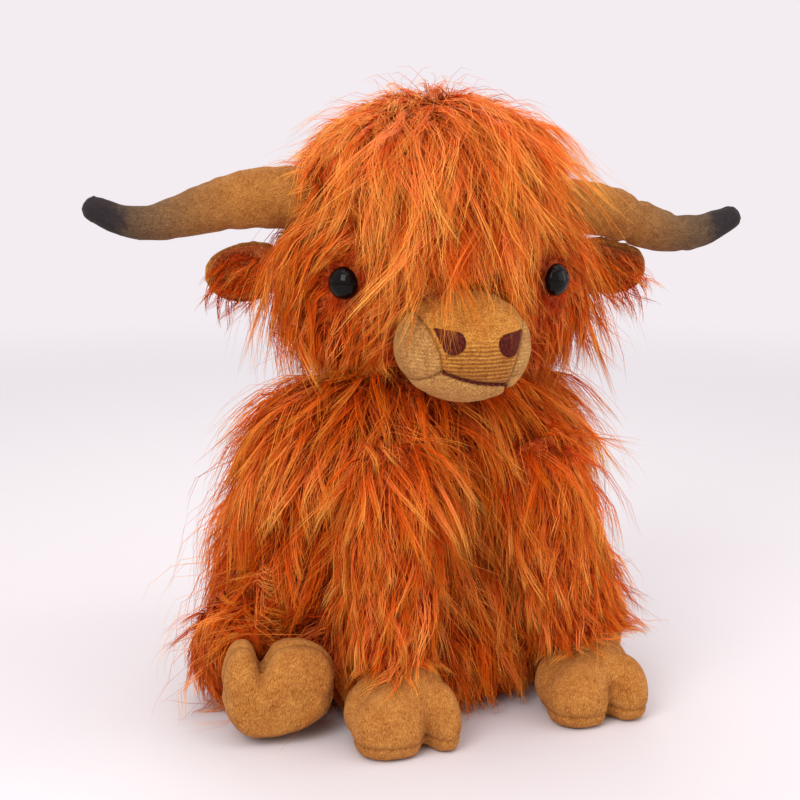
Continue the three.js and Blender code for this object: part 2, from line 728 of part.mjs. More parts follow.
const bagOfPellets = pellets();
const inside = torsoInside(torso.cover);
const overPanel = block(
  new THREE.Vector3(-reach, -reach, 0), new THREE.Vector3(reach, reach, seat.panel + seamGap),
);
addAll(group, {
  torso_cover: largest(cut(torsoBag.solid(), inside, underFloor)),
  torso_filling: largest(
    cut(torsoInside(torso.cover + seamGap), underFloor, overPanel, bagOfPellets.room),
  ),
  pellet_bag: largest(cut(bagOfPellets.solid, overPanel, underFloor)),
  seat_panel: seatPanel(),
}, (name) => (/cover/.test(name) ? 'fur' : 'white'));

const headGroup = new THREE.Group();
headGroup.position.set(neck.x, neck.y, 0);
headGroup.rotation.z = head.turn;
const headFrame = new THREE.Group();
headFrame.position.set(-neck.x, -neck.y, 0);
headGroup.add(headFrame);
group.add(headGroup);

const hornBags = { right: hornBag(-1, rightHornShares), left: hornBag(1, leftHornShares) };
const headSet = headParts();
headSet.forelock = hairSolid(Object.values(hornBags).map((one) => one.solid(seamGap)));
Object.assign(headSet, muzzlePanels());
headSet.muzzle_filling = muzzleFilling();
headSet.nostril_right = embroidered(nostrilTool(-1));
headSet.nostril_left = embroidered(nostrilTool(1));
headSet.mouth_stitch = embroidered(mouthTool());
for (const [name, side] of [['right', -1], ['left', 1]]) {
  headSet[`horn_${name}`] = largest(cut(hornBags[name].solid(), headSeat));
  const hornRoom = hornBags[name].solid(turningGap);
  headSet[`ear_front_${name}`] = earLayer(side, seamGap / 2, ear.layer, hornRoom);
  headSet[`ear_back_${name}`] = earLayer(side, -ear.layer, -seamGap / 2, hornRoom);
}
addAll(headFrame, headSet, headLook);

addAll(group, frontLegParts('front_leg_right', -1, frontAcross.right), limbLook);
addAll(group, frontLegParts('front_leg_left', 1, frontAcross.left), limbLook);
addAll(group, hindLegParts('hind_leg_right', -1, hindPlaces.right), limbLook);
addAll(group, hindLegParts('hind_leg_left', 1, hindPlaces.left), limbLook);
addAll(group, tailParts(), () => 'fur');

export default group;
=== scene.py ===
"""Looks for a plush highland cow: long fur, stuffed horns, a padded muzzle, eyes, ears and hooves.

Lengths are in metres in the toy's own frame: it faces -Y, +Z is up and +X is its left.
"""

import math

import bmesh
import bpy
import numpy as np
from bpy.props import FloatProperty, FloatVectorProperty, PointerProperty
from mathutils import Matrix, Vector
from mathutils.bvhtree import BVHTree
from mathutils.kdtree import KDTree


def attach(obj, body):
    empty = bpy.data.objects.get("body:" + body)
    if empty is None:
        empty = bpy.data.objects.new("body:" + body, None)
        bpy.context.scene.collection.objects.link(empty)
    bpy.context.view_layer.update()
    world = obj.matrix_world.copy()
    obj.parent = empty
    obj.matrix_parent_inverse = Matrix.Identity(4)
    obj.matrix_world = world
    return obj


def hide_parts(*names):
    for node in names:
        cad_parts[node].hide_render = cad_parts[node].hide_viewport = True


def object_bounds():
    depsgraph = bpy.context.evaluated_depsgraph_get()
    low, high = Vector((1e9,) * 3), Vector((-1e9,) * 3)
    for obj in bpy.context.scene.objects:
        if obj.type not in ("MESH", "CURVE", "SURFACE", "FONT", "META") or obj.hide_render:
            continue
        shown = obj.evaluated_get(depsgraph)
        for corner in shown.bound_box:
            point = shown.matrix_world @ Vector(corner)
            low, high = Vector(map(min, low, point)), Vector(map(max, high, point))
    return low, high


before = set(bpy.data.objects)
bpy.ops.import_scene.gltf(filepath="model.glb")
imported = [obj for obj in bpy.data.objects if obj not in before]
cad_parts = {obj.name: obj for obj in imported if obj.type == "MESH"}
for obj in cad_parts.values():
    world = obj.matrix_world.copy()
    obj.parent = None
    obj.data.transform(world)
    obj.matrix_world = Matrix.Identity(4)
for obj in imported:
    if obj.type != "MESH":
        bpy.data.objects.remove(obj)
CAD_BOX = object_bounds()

bl_info = {
    "name": "Plush highland cow",
    "version": (1, 0, 0),
    "blender": (4, 5, 0),
    "location": "View3D > Sidebar > Plush",
    "description": "Builds the fur, stuffing, stitching and stage of a plush cow",
    "category": "Object",
}

MM = 0.001
SEED = 41
SIDES = {"right": -1, "left": 1}

# Each leg: how far its hoof is turned out as in the solids, how far the cleft lies to the cow's left
# of the hoof's middle, and how long its fur is.
LEGS = (
    ("front", "right", 0.0, 7 * MM, 1.0),
    ("hind", "right", math.radians(-14), -7 * MM, 0.85),
    ("front", "left", 0.0, 3.5 * MM, 1.0),
    ("hind", "left", math.radians(2), 0.0, 1.0),
)

# The head turns about the neck, so its shapes are worked out in its own straight frame.
NECK = np.array([0.0, -0.035, 0.0])
HEAD_TURN = math.radians(-11)
MUZZLE_MIDDLE = 183.2 * MM

# How stuffed covers are filled: the cloth's settings, for so many frames.
CLOTH = {
    "quality": 5, "mass": 0.2, "tension_stiffness": 12, "compression_stiffness": 12, "shear_stiffness": 4,
    "bending_stiffness": 0.4, "use_pressure": True, "uniform_pressure_force": 4.0,
}
CLOTH_FRAMES = 20
BACKING_LOWEST = 3.3 * MM
HOOF_LOWEST = 0.2 * MM
SOLE_SEAM = 6.0 * MM

# Short plush and cloth: depth of the pile, pitch and waver of the knitted ribs, pitch of the weave.
PILE_DEPTH = 1.2 * MM
RIB_PITCH = 1.75 * MM
RIB_WAVER = 1.4 * MM
WEAVE_PITCH = 0.9 * MM

# Strands. Their map runs along them from root to tip, and across from a dark shade to a light one.
FUR_MAP = "OFBake"
RING = 3
ROOT_DEPTH = 0.6 * MM
STRAND_LOWEST = 0.5 * MM
STRAND_GAP = 0.35 * MM
SOLID_REACH = 30 * MM

# How far past the solids' box the pile may reach: a share of the box's size, and a little more.
PAST_BOX_SHARE = 0.03
PAST_BOX = 9.4 * MM
PILE_LOWEST = 0.4 * MM

# Stage: half the floor's width, what the camera looks at and from how far, and where the lamps point.
FLOOR_HALF = 4.0
CAMERA_TARGET = (-32.9, -72.3, 156.1)
CAMERA_DISTANCE = 0.68
LAMP_TARGET = (0, -0.03, 0.14)

# Pieces made so far that others are built on, by short names.
MADE = {}


class FurSizes(bpy.types.PropertyGroup):
    """Lengths and thickness of the long pile."""

    body_length: FloatProperty(
        name="Body pile", description="Length of the fur on the body", default=0.044, unit="LENGTH"
    )
    face_length: FloatProperty(
        name="Face pile", description="Length of the fur on the face", default=0.027, unit="LENGTH"
    )
    crown_length: FloatProperty(
        name="Crown hair", description="Length of the hair on the crown", default=0.058, unit="LENGTH"
    )
    leg_length: FloatProperty(
        name="Leg pile", description="Length of the fur on the legs", default=0.032, unit="LENGTH"
    )
    strand_width: FloatProperty(
        name="Strand width", description="Thickness of one strand", default=0.00053, unit="LENGTH"
    )
    base_depth: FloatProperty(
        name="Base depth", description="How far the backing cloth lies inside the pile", default=0.004,
        unit="LENGTH",
    )
    density: FloatProperty(
        name="Density", description="Strands in each square millimetre", default=0.32, min=0.01
    )


class PlushColours(bpy.types.PropertyGroup):
    """Colours of the cloths and of the thread."""

    # The fur's dark root colour is partly painted shade deep in the pile, and its light tip colour partly a
    # painted highlight.
    fur_root: FloatVectorProperty(
        name="Fur root", description="Pile at its backing", subtype="COLOR", default=(0.42, 0.045, 0.003)
    )
    fur_middle: FloatVectorProperty(
        name="Fur middle", description="Pile half way", subtype="COLOR", default=(0.92, 0.138, 0.005)
    )
    fur_tip: FloatVectorProperty(
        name="Fur tip", description="Pile at its ends", subtype="COLOR", default=(0.97, 0.42, 0.05)
    )
    tan: FloatVectorProperty(
        name="Tan plush", description="Short plush", subtype="COLOR", default=(0.5, 0.185, 0.034)
    )
    horn_tip: FloatVectorProperty(
        name="Horn tip", description="Plush at the horn's end", subtype="COLOR", default=(0.025, 0.018, 0.02)
    )
    ear_lining: FloatVectorProperty(
        name="Ear lining", description="Inside of the ears", subtype="COLOR", default=(0.36, 0.075, 0.014)
    )
    thread: FloatVectorProperty(
        name="Thread", description="Embroidery", subtype="COLOR", default=(0.085, 0.012, 0.007)
    )
    floor: FloatVectorProperty(
        name="Floor", description="The stage's floor", subtype="COLOR", default=(0.74, 0.7, 0.72)
    )


class StageSizes(bpy.types.PropertyGroup):
    """Camera and lamps."""

    azimuth: FloatProperty(
        name="Azimuth", description="Camera direction", default=math.radians(-22), subtype="ANGLE"
    )
    pitch: FloatProperty(
        name="Pitch", description="Camera tilt downwards", default=math.radians(10.5), subtype="ANGLE"
    )
    lens: FloatProperty(name="Lens", description="Focal length", default=67.18, unit="CAMERA")
    key_power: FloatProperty(name="Key lamp", description="Main lamp", default=9.0, unit="POWER")
    fill_power: FloatProperty(name="Fill lamp", description="Side lamp", default=3.2, unit="POWER")
    room_light: FloatProperty(name="Room light", description="Light from all round", default=0.64, min=0.0)
    backdrop: FloatVectorProperty(
        name="Background", description="The pale background", subtype="COLOR", default=(0.9, 0.84, 0.88)
    )


def settings(name):
    return getattr(bpy.context.scene, name)


# Frames and small vector tools.


def straightened(points):
    """Points of the head in its own straight frame, with the neck on the Z axis."""
    return (points - NECK) @ np.array(Matrix.Rotation(-HEAD_TURN, 3, "Z")).T


def turned_way(ways):
    """Ways of the head's straight frame, in the toy's frame."""
    return ways @ np.array(Matrix.Rotation(HEAD_TURN, 3, "Z")).T


def turned(points):
    """Points of the head's straight frame, back in the toy's frame."""
    return turned_way(points) + NECK


def head_way(*way):
    """One way, given by its parts in the head's straight frame."""
    return turned_way(np.array([way], float))[0]


def unit(vectors):
    return vectors / np.maximum(np.linalg.norm(vectors, axis=-1, keepdims=True), 1e-9)


def ease(low, high, values):
    share = np.clip((values - low) / (high - low), 0, 1)
    return share * share * (3 - 2 * share)


def bell(values, width):
    """One where the values are nought, and about a third at the width."""
    return np.exp(-((values / width) ** 2))


def apart(points, place):
    """Distances of points from a place."""
    return np.linalg.norm(points - place, axis=1)


def middle_and_half(spots):
    """The middle of the box round some spots, and half its size."""
    low, high = spots.min(0), spots.max(0)
    return (low + high) / 2, (high - low) / 2


def from_middle(spots, middle, half):
    """How far out spots lie in an ear's oval, across and up: one is on its edge."""
    return np.hypot((spots[:, 0] - middle[0]) / half[0], (spots[:, 2] - middle[2]) / half[2])


def thinnest(spots):
    """The way in which a thin solid is thinnest."""
    return np.linalg.svd(spots - spots.mean(0), full_matrices=False)[2][2]


def facing(place, way):
    """A frame at a place, with its Z axis along a way."""
    return Matrix.Translation(place) @ way.to_track_quat("Z", "Y").to_matrix().to_4x4()


# Mesh tools.


def new_piece(name, mesh):
    """A piece from a mesh, or from a bmesh, which it uses up."""
    if isinstance(mesh, bmesh.types.BMesh):
        shape, mesh = mesh, bpy.data.meshes.new(name)
        shape.to_mesh(mesh)
        shape.free()
    piece = bpy.data.objects.new(name, mesh)
    bpy.context.scene.collection.objects.link(piece)
    return piece


def cad_copy(name, nodes):
    """One piece from merged copies of CAD nodes."""
    shape = bmesh.new()
    for node in nodes:
        shape.from_mesh(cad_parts[node].data)
    bmesh.ops.remove_doubles(shape, verts=shape.verts, dist=1e-5)
    return new_piece(name, shape)


def modify(piece, kind, **values):
    """Makes one modifier with these values part of the piece's mesh."""
    change = piece.modifiers.new(kind.title(), kind)
    for label, value in values.items():
        setattr(change, label, value)
    apply_all(piece)


def apply_all(piece):
    """Makes the piece's modifiers part of its mesh."""
    bpy.context.view_layer.update()
    graph = bpy.context.evaluated_depsgraph_get()
    made = bpy.data.meshes.new_from_object(piece.evaluated_get(graph))
    old = piece.data
    piece.modifiers.clear()
    piece.data = made
    bpy.data.meshes.remove(old)
    made.name = piece.name


def vectors_of(items, label):
    values = np.empty(len(items) * 3, np.float32)
    items.foreach_get(label, values)
    return values.reshape(-1, 3).astype(float)


def points_of(piece):
    return vectors_of(piece.data.vertices, "co")


def normals_of(piece):
    return vectors_of(piece.data.vertex_normals, "vector")


def node_points(node):
    return points_of(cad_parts[node])


def set_points(piece, points):
    piece.data.vertices.foreach_set("co", points.astype(np.float32).ravel())
    piece.data.update()


def surface_of(piece):
    """The piece's faces, ready to be asked for the nearest one."""
    shape = bmesh.new()
    shape.from_mesh(piece.data)
    tree = BVHTree.FromBMesh(shape)
    shape.free()
    return tree


def remesh(piece, voxel):
    """Even faces over the whole piece, without the loose shells that this leaves inside."""
    modify(piece, "REMESH", mode="VOXEL", voxel_size=voxel)
    shape = bmesh.new()
    shape.from_mesh(piece.data)
    left, shells = set(shape.verts), []
    while left:
        shell = [left.pop()]
        for vert in shell:
            near = {edge.other_vert(vert) for edge in vert.link_edges} & left
            left -= near
            shell.extend(near)
        shells.append(shell)
    shells.sort(key=len)
    lost = [vert for shell in shells[:-1] for vert in shell]
    bmesh.ops.delete(shape, geom=lost, context="VERTS")
    shape.to_mesh(piece.data)
    shape.free()


def soften(piece, repeats):
    modify(piece, "SMOOTH", iterations=repeats)


def refine(piece):
    modify(piece, "SUBSURF", levels=1, render_levels=1)
    piece.data.shade_smooth()


def inflate(piece, cap):
    """Fills a cloth cover with air for a moment, and keeps no point further than cap from its place."""
    before = points_of(piece)
    cloth = piece.modifiers.new("Cloth", "CLOTH")
    for label, value in CLOTH.items():
        setattr(cloth.settings, label, value)
    cloth.settings.effector_weights.gravity = 0
    for number in range(1, CLOTH_FRAMES + 1):
        bpy.context.scene.frame_set(number)
    apply_all(piece)
    bpy.context.scene.frame_set(1)
    move = points_of(piece) - before
    reach = np.linalg.norm(move, axis=1, keepdims=True)
    set_points(piece, before + move * np.minimum(1, cap / np.maximum(reach, 1e-9)))


def stuffed(name, nodes, voxel, cap, tuck):
    """A stuffed cover in the room of its CAD nodes, drawn in by tuck before it swells."""
    piece = cad_copy(name, nodes)
    remesh(piece, voxel)
    soften(piece, 4)
    set_points(piece, points_of(piece) - normals_of(piece) * tuck)
    inflate(piece, cap)
    refine(piece)
    return piece


def backing(name, nodes, voxel, depth):
    """The cloth that long pile grows from, inside the room that its CAD nodes take."""
    piece = cad_copy(name, nodes)
    remesh(piece, voxel)
    soften(piece, 6)
    ways = normals_of(piece)
    down = np.clip(-ways[:, 2:3], 0, 1)
    spots = points_of(piece) - ways * depth * (1 - down)
    spots[:, 2] = np.maximum(spots[:, 2], BACKING_LOWEST)
    set_points(piece, spots)
    remesh(piece, voxel)
    soften(piece, 8)
    piece.data.shade_smooth()
    return piece


def mark(piece, label, values):
    """Keeps a value for each of the piece's points, for its material."""
    layer = piece.data.attributes.new(label, "FLOAT", "POINT")
    layer.data.foreach_set("value", np.clip(values, 0, 1).astype(np.float32))


def wear(piece, material):
    piece.data.materials.clear()
    piece.data.materials.append(material)


def finish_piece(piece, body, slot, material, nodes=(), fill=None):
    wear(piece, material)
    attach(piece, body)
    if nodes:
        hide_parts(*nodes)


# Materials.


def new_material(name):
    material = bpy.data.materials.new(name)
    material.use_nodes = True
    return material, material.node_tree, material.node_tree.nodes["Principled BSDF"]


def wire(tree, node, inputs):
    """Links outputs to a node's inputs, or sets the inputs' own values."""
    for label, value in inputs.items():
        if isinstance(value, bpy.types.NodeSocket):
            tree.links.new(value, node.inputs[label])
        else:
            node.inputs[label].default_value = value


def add_node(tree, kind, inputs, **own):
    """A new shader node with its own settings and its inputs."""
    made = tree.nodes.new(f"ShaderNode{kind}")
    for label, value in own.items():
        setattr(made, label, value)
    wire(tree, made, inputs)
    return made


def new_group(name, outputs, **inputs):
    """An empty node group with named sockets: its tree, its output node and what it's given."""
    tree = bpy.data.node_groups.new(name, "ShaderNodeTree")
    kinds = {4: "NodeSocketColor", 3: "NodeSocketVector", 0: "NodeSocketFloat"}
    for label, value in inputs.items():
        size = len(value) if isinstance(value, tuple) else 0
        tree.interface.new_socket(label, in_out="INPUT", socket_type=kinds[size]).default_value = value
    for label in outputs:
        kind = kinds[4 if label == "Color" else 0]
        tree.interface.new_socket(label, in_out="OUTPUT", socket_type=kind)
    given = tree.nodes.new("NodeGroupInput")
    return tree, tree.nodes.new("NodeGroupOutput"), given.outputs[: len(inputs)]


def noise(tree, vector, scale, detail=2.0, roughness=0.5):
    inputs = {"Vector": vector, "Scale": scale, "Detail": detail, "Roughness": roughness}
    return add_node(tree, "TexNoise", inputs).outputs["Fac"]


def calc(tree, operation, *values):
    return add_node(tree, "Math", dict(enumerate(values)), operation=operation).outputs[0]


def mix(tree, factor, first, second, blend="MIX"):
    inputs = {"Factor": factor, "A": first, "B": second}
    return add_node(tree, "Mix", inputs, data_type="RGBA", blend_type=blend).outputs["Result"]


def fit_range(tree, value, low, high, to_low=0.0, to_high=1.0):
    inputs = {"Value": value, "From Min": low, "From Max": high, "To Min": to_low, "To Max": to_high}
    return add_node(tree, "MapRange", inputs, interpolation_type="SMOOTHSTEP").outputs["Result"]


def blend_shaders(tree, factor, first, second, output):
    """Shows the second shader in place of the first, by a factor."""
    blend = add_node(tree, "MixShader", {0: factor, 1: first.outputs[0], 2: second.outputs[0]})
    wire(tree, tree.nodes[output], {"Surface": blend.outputs[0]})


def colour4(values, gain=1.0):
    return (*[min(1.0, v * gain) for v in values], 1.0)


def object_vector(tree):
    return tree.nodes.new("ShaderNodeTexCoord").outputs["Object"]


def split_vector(tree, vector):
    return add_node(tree, "SeparateXYZ", {0: vector}).outputs


def own_value(tree, label):
    """A value that the piece's own mesh carries, such as how near a seam is."""
    return add_node(tree, "Attribute", {}, attribute_name=label).outputs["Fac"]


def add_bump(tree, shader, height, strength, distance):
    bump = add_node(tree, "Bump", {"Strength": strength, "Distance": distance, "Height": height})
    wire(tree, shader, {"Normal": bump.outputs["Normal"]})


def dyed_and_shaded_pile_group():
    """Colour of a dyed strand, each of its own shade: dark at its root, as painted shade deep in the pile,
    and light at its tip, partly its dye and partly a painted highlight.
    """
    tree, out, (along, shade, root, middle, tip) = new_group(
        "Dyed and shaded pile", ["Color"], Along=0.0, Shade=0.5, Root=(0.2, 0.04, 0.01, 1.0),
        Middle=(0.6, 0.13, 0.02, 1.0), Tip=(0.9, 0.35, 0.09, 1.0),
    )
    low = mix(tree, fit_range(tree, along, 0.0, 0.42), root, middle)
    light = fit_range(tree, shade, 0.0, 0.8, 0.25, 1.0)
    reach = calc(tree, "MULTIPLY", fit_range(tree, along, 0.35, 1.0), light)
    dyed_and_shaded = add_node(tree, "HueSaturation", {
        "Color": mix(tree, reach, low, tip),
        "Value": fit_range(tree, shade, 0.0, 1.0, 0.6, 1.25),
        "Saturation": fit_range(tree, shade, 0.0, 1.0, 1.06, 0.94),
        "Hue": fit_range(tree, shade, 0.0, 1.0, 0.487, 0.513),
    })
    wire(tree, out, {"Color": dyed_and_shaded.outputs["Color"]})
    return tree


def short_pile_group():
    """Short plush: fibres side by side with the gaps between them painted dark as shade, patches where the
    nap lies another way, and painted shade along seams.
    """
    if "Short pile" in bpy.data.node_groups:
        return bpy.data.node_groups["Short pile"]
    tree, out, (vector, colour, fibre, contrast, seam, lie) = new_group(
        "Short pile", ["Color", "Height"], Vector=(0.0, 0.0, 0.0), Color=(0.5, 0.3, 0.1, 1.0),
        Fibre=1900.0, Contrast=0.35, Seam=0.0, Lie=(1.0, 1.0, 0.4),
    )
    drawn = add_node(tree, "VectorMath", {0: vector, 1: lie}, operation="MULTIPLY").outputs[0]
    ends = noise(tree, drawn, fibre, roughness=0.6)
    patches = noise(tree, vector, 90.0)
    middling = noise(tree, vector, 450.0, roughness=0.6)
    total = calc(tree, "MULTIPLY_ADD", ends, 0.8, calc(tree, "MULTIPLY", patches, 0.25))
    total = calc(tree, "MULTIPLY_ADD", middling, 0.3, total)
    strength = calc(tree, "MULTIPLY", contrast, 9.0)
    spread = calc(tree, "MULTIPLY", calc(tree, "SUBTRACT", total, 0.67), strength)
    uneven = add_node(tree, "HueSaturation", {
        "Color": colour,
        "Value": calc(tree, "ADD", spread, 1.0),
        "Saturation": calc(tree, "MULTIPLY_ADD", spread, -0.1, 1.0),
        "Hue": calc(tree, "MULTIPLY_ADD", spread, 0.03, 0.5),
    }).outputs["Color"]
    # Painted shade in the seams' grooves.
    groove_shade = mix(tree, 1.0, uneven, (0.3, 0.2, 0.13, 1.0), "MULTIPLY")
    wire(tree, out, {
        "Color": mix(tree, seam, uneven, groove_shade),
        "Height": calc(tree, "MULTIPLY_ADD", middling, 0.8, ends),
    })
    return tree


def ribs_group():
    """Fine knitted ribs along one axis, that waver a little."""
    tree, out, (vector, pitch, waver) = new_group(
        "Knit ribs", ["Height"], Vector=(0.0, 0.0, 0.0), Pitch=0.0016, Waver=0.0006
    )
    off = calc(tree, "SUBTRACT", noise(tree, vector, 120.0), 0.5)
    level = calc(tree, "MULTIPLY_ADD", off, waver, split_vector(tree, vector)["Z"])
    turns = calc(tree, "MULTIPLY", calc(tree, "DIVIDE", level, pitch), math.tau)
    wire(tree, out, {"Height": calc(tree, "MULTIPLY_ADD", calc(tree, "SINE", turns), 0.5, 0.5)})
    return tree


def short_pile(tree, vector, colour, fibre, contrast, lie):
    """The short pile's colour and height, with painted shade where the mesh says that a seam's groove is."""
    inputs = {"Vector": vector, "Color": colour, "Fibre": fibre, "Contrast": contrast,
              "Seam": own_value(tree, "seam"), "Lie": lie}
    made = add_node(tree, "Group", inputs, node_tree=short_pile_group()).outputs
    return made["Color"], made["Height"]


def plush_finish(tree, shader, colour, height, bump=0.6, sheen=0.07):
    add_bump(tree, shader, height, bump, PILE_DEPTH)
    wire(tree, shader, {"Base Color": colour, "Roughness": 0.85, "Specular IOR Level": 0.2,
                        "Sheen Weight": sheen, "Sheen Roughness": 0.4, "Sheen Tint": (1.0, 0.8, 0.5, 1.0)})


def fur_material():
    name = "Long rust fur"
    if name in bpy.data.materials:
        return bpy.data.materials[name]
    colours = settings("plush_colours")
    material, tree, shader = new_material(name)
    mapped = add_node(tree, "UVMap", {}, uv_map=FUR_MAP)
    place = split_vector(tree, mapped.outputs["UV"])
    inputs = {"Along": place["X"], "Shade": place["Y"], "Root": colour4(colours.fur_root),
              "Middle": colour4(colours.fur_middle), "Tip": colour4(colours.fur_tip)}
    dyed_and_shaded = add_node(tree, "Group", inputs, node_tree=dyed_and_shaded_pile_group())
    wire(tree, shader, {"Base Color": dyed_and_shaded.outputs["Color"], "Roughness": 0.48, "Specular IOR Level": 0.12,
                        "Sheen Weight": 0.04, "Sheen Roughness": 0.4, "Sheen Tint": (1.0, 0.5, 0.2, 1.0)})
    return material


def plush_material(name, colour, fibre=2200.0, contrast=0.24, bump=0.6, sheen=0.07):
    material, tree, shader = new_material(name)
    made = short_pile(tree, object_vector(tree), colour4(colour), fibre, contrast, (1.0, 1.0, 0.36))
    plush_finish(tree, shader, *made, bump, sheen)
    return material


def horn_material():
    """Tan plush that fades to a dark tip, by how far from the tip the mesh says each point is."""
    colours = settings("plush_colours")
    material, tree, shader = new_material("Horn plush")
    vector = object_vector(tree)
    off = calc(tree, "SUBTRACT", noise(tree, vector, 260.0, 3.0), 0.5)
    edge = calc(tree, "MULTIPLY_ADD", off, 0.012, own_value(tree, "from_tip"))
    brown = (0.11, 0.065, 0.035, 1.0)
    dusky = mix(tree, fit_range(tree, edge, 0.016, 0.078), brown, colour4(colours.tan, 0.77))
    faded = mix(tree, fit_range(tree, edge, 0.013, 0.022), colour4(colours.horn_tip), dusky)
    plush_finish(tree, shader, *short_pile(tree, vector, faded, 2300.0, 0.24, (0.4, 1.0, 1.0)))
    return material


def muzzle_material():
    """Tan plush, browner and with knitted ribs on the nose panel."""
    material, tree, shader = new_material("Knitted tan plush")
    vector = object_vector(tree)
    red, green, blue = settings("plush_colours").tan
    nose, cheek = (red * 1.06, green * 1.1, blue * 0.9, 1.0), (red, green * 1.3, blue * 2.0, 1.0)
    tan = mix(tree, own_value(tree, "nose"), cheek, nose)
    colour, height = short_pile(tree, vector, tan, 1700.0, 0.3, (0.8, 0.8, 1.3))
    inputs = {"Vector": vector, "Pitch": RIB_PITCH, "Waver": RIB_WAVER}
    ribs = add_node(tree, "Group", inputs, node_tree=ribs_group()).outputs["Height"]
    lines = calc(tree, "MULTIPLY", ribs, own_value(tree, "ribbed"))
    # Painted shade: the ribs' grooves are darker.
    groove_shade = mix(tree, 1.0, colour, (0.42, 0.3, 0.25, 1.0), "MULTIPLY")
    shaded = mix(tree, calc(tree, "MULTIPLY", lines, 0.8), colour, groove_shade)
    plush_finish(tree, shader, shaded, calc(tree, "MULTIPLY_ADD", lines, -1.1, height))
    return material


def thread_material():
    thread = settings("plush_colours").thread
    material, tree, shader = new_material("Dark thread")
    shade = noise(tree, object_vector(tree), 900.0)
    tint = mix(tree, fit_range(tree, shade, 0.3, 0.7), colour4(thread, 0.55), colour4(thread, 1.7))
    add_bump(tree, shader, shade, 0.4, 0.0004)
    wire(tree, shader, {"Base Color": tint, "Roughness": 0.45, "Specular IOR Level": 0.08})
    return material


def eye_material():
    material, tree, shader = new_material("Polished black plastic")
    cloud = fit_range(tree, noise(tree, object_vector(tree), 60.0), 0.35, 0.75)
    tint = mix(tree, cloud, (0.002, 0.001, 0.001, 1.0), (0.005, 0.002, 0.002, 1.0))
    wire(tree, shader, {"Base Color": tint, "Roughness": 0.05, "Specular IOR Level": 0.14})
    return material


def cloth_material(name, colour):
    """Plain woven cloth, for the seat panel and the pellet bag."""
    material, tree, shader = new_material(name)
    vector = object_vector(tree)
    place = split_vector(tree, vector)
    turns = math.tau / WEAVE_PITCH
    threads = [calc(tree, "SINE", calc(tree, "MULTIPLY", place[axis], turns)) for axis in ("X", "Y")]
    weave = calc(tree, "MULTIPLY", *threads)
    shade = fit_range(tree, calc(tree, "ADD", weave, noise(tree, vector, 200.0)), -0.5, 1.5)
    tint = mix(tree, shade, colour4(colour, 0.75), colour4(colour, 1.15))
    add_bump(tree, shader, weave, 0.5, 0.0003)
    wire(tree, shader, {"Base Color": tint, "Roughness": 0.9})
    return material


# Long pile: strands that grow from a backing, lie over it and gather in locks.


class Solids:
    """What strands lie on and may not enter."""

    def __init__(self, *names):
        self.shapes = []
        for name in names:
            spots = points_of(MADE[name])
            self.shapes.append((surface_of(MADE[name]), spots.min(0), spots.max(0)))

    def pushed_out(self, points, margins):
        """Points moved out to their margins from the solids that they lie in or near."""
        moved = points.copy()
        reach = float(margins.max())
        for tree, low, high in self.shapes:
            near = ((moved > low - reach) & (moved < high + reach)).all(1)
            for index in np.flatnonzero(near):
                spot = Vector(moved[index])
                place, normal, _, _ = tree.find_nearest(spot, SOLID_REACH)
                if place is not None and (spot - place).dot(normal) < margins[index]:
                    moved[index] = place + normal * margins[index]
        return moved


def sample_skin(skin, count, density, rng):
    """Random roots on a backing, with their normals, by the share that density gives each face."""
    mesh = skin.data
    mesh.calc_loop_triangles()
    corners = np.empty(len(mesh.loop_triangles) * 3, np.int32)
    mesh.loop_triangles.foreach_get("vertices", corners)
    corners = corners.reshape(-1, 3)
    places, ways = points_of(skin)[corners], normals_of(skin)[corners]
    area = np.linalg.norm(np.cross(places[:, 1] - places[:, 0], places[:, 2] - places[:, 0]), axis=1) / 2
    weight = area * density(places.mean(1), unit(ways.mean(1)))
    number = int(round(count * weight.sum() / MM**2))
    chosen = rng.choice(len(weight), number, p=weight / weight.sum())
    first, second = np.sqrt(rng.random(number)), rng.random(number)
    shares = np.stack([1 - first, first * (1 - second), first * second], 1)[:, :, None]
    return (places[chosen] * shares).sum(1), unit((ways[chosen] * shares).sum(1))


def drift(points, scale, seed):
    """A smooth random way at each point, the same on each run."""
    rng = np.random.default_rng(seed)
    total = np.zeros_like(points)
    for _ in range(7):
        wave = rng.normal(size=3) / scale
        total += np.sin(points @ wave + rng.random() * math.tau)[:, None] * rng.normal(size=3)
    return total / 3


def nearest(points, among):
    tree = KDTree(len(among))
    for index, point in enumerate(among):
        tree.insert(point, index)
    tree.balance()
    return np.array([tree.find(point)[1] for point in points])


def swung(ways, normals, angles):
    """Ways turned about the normals."""
    side = np.cross(normals, ways)
    return ways * np.cos(angles)[:, None] + side * np.sin(angles)[:, None]


def grown(roots, normals, combed, length, lift, loft, style, solids, rng, wild=1.0):
    """Paths of strands: they rise from the backing, bend over and follow the comb in waves."""
    number, steps = len(roots), style["steps"]
    side = np.cross(normals, combed)
    jitter = rng.normal(size=(number, 3)) * 0.14 * wild
    start = unit(normals * lift[:, None] + combed * (1 - lift[:, None]) + jitter)
    ahead = unit(combed + np.array([0, 0, -1]) * style["gravity"])
    phase = rng.random(number) * math.tau
    turns = rng.uniform(0.4, 1.0, number) * rng.choice([-1, 1], number) * math.tau
    path = [roots]
    for step in range(1, steps + 1):
        share = step / steps
        bent = ease(0, 0.75, share)
        angle = phase + turns * share
        wave = side * np.sin(angle)[:, None] + normals * np.cos(angle)[:, None] * 0.4
        way = unit(start * (1 - bent) + ahead * bent + wave * style["curl"] * wild)
        spot = path[-1] + way * (length / steps)[:, None]
        spot[:, 2] = np.maximum(spot[:, 2], 0.6 * MM + 1.5 * MM * (1 - share))
        path.append(solids.pushed_out(spot, loft * min(1, share * 1.6) + 0.4 * MM))
    return np.stack(path, 1)


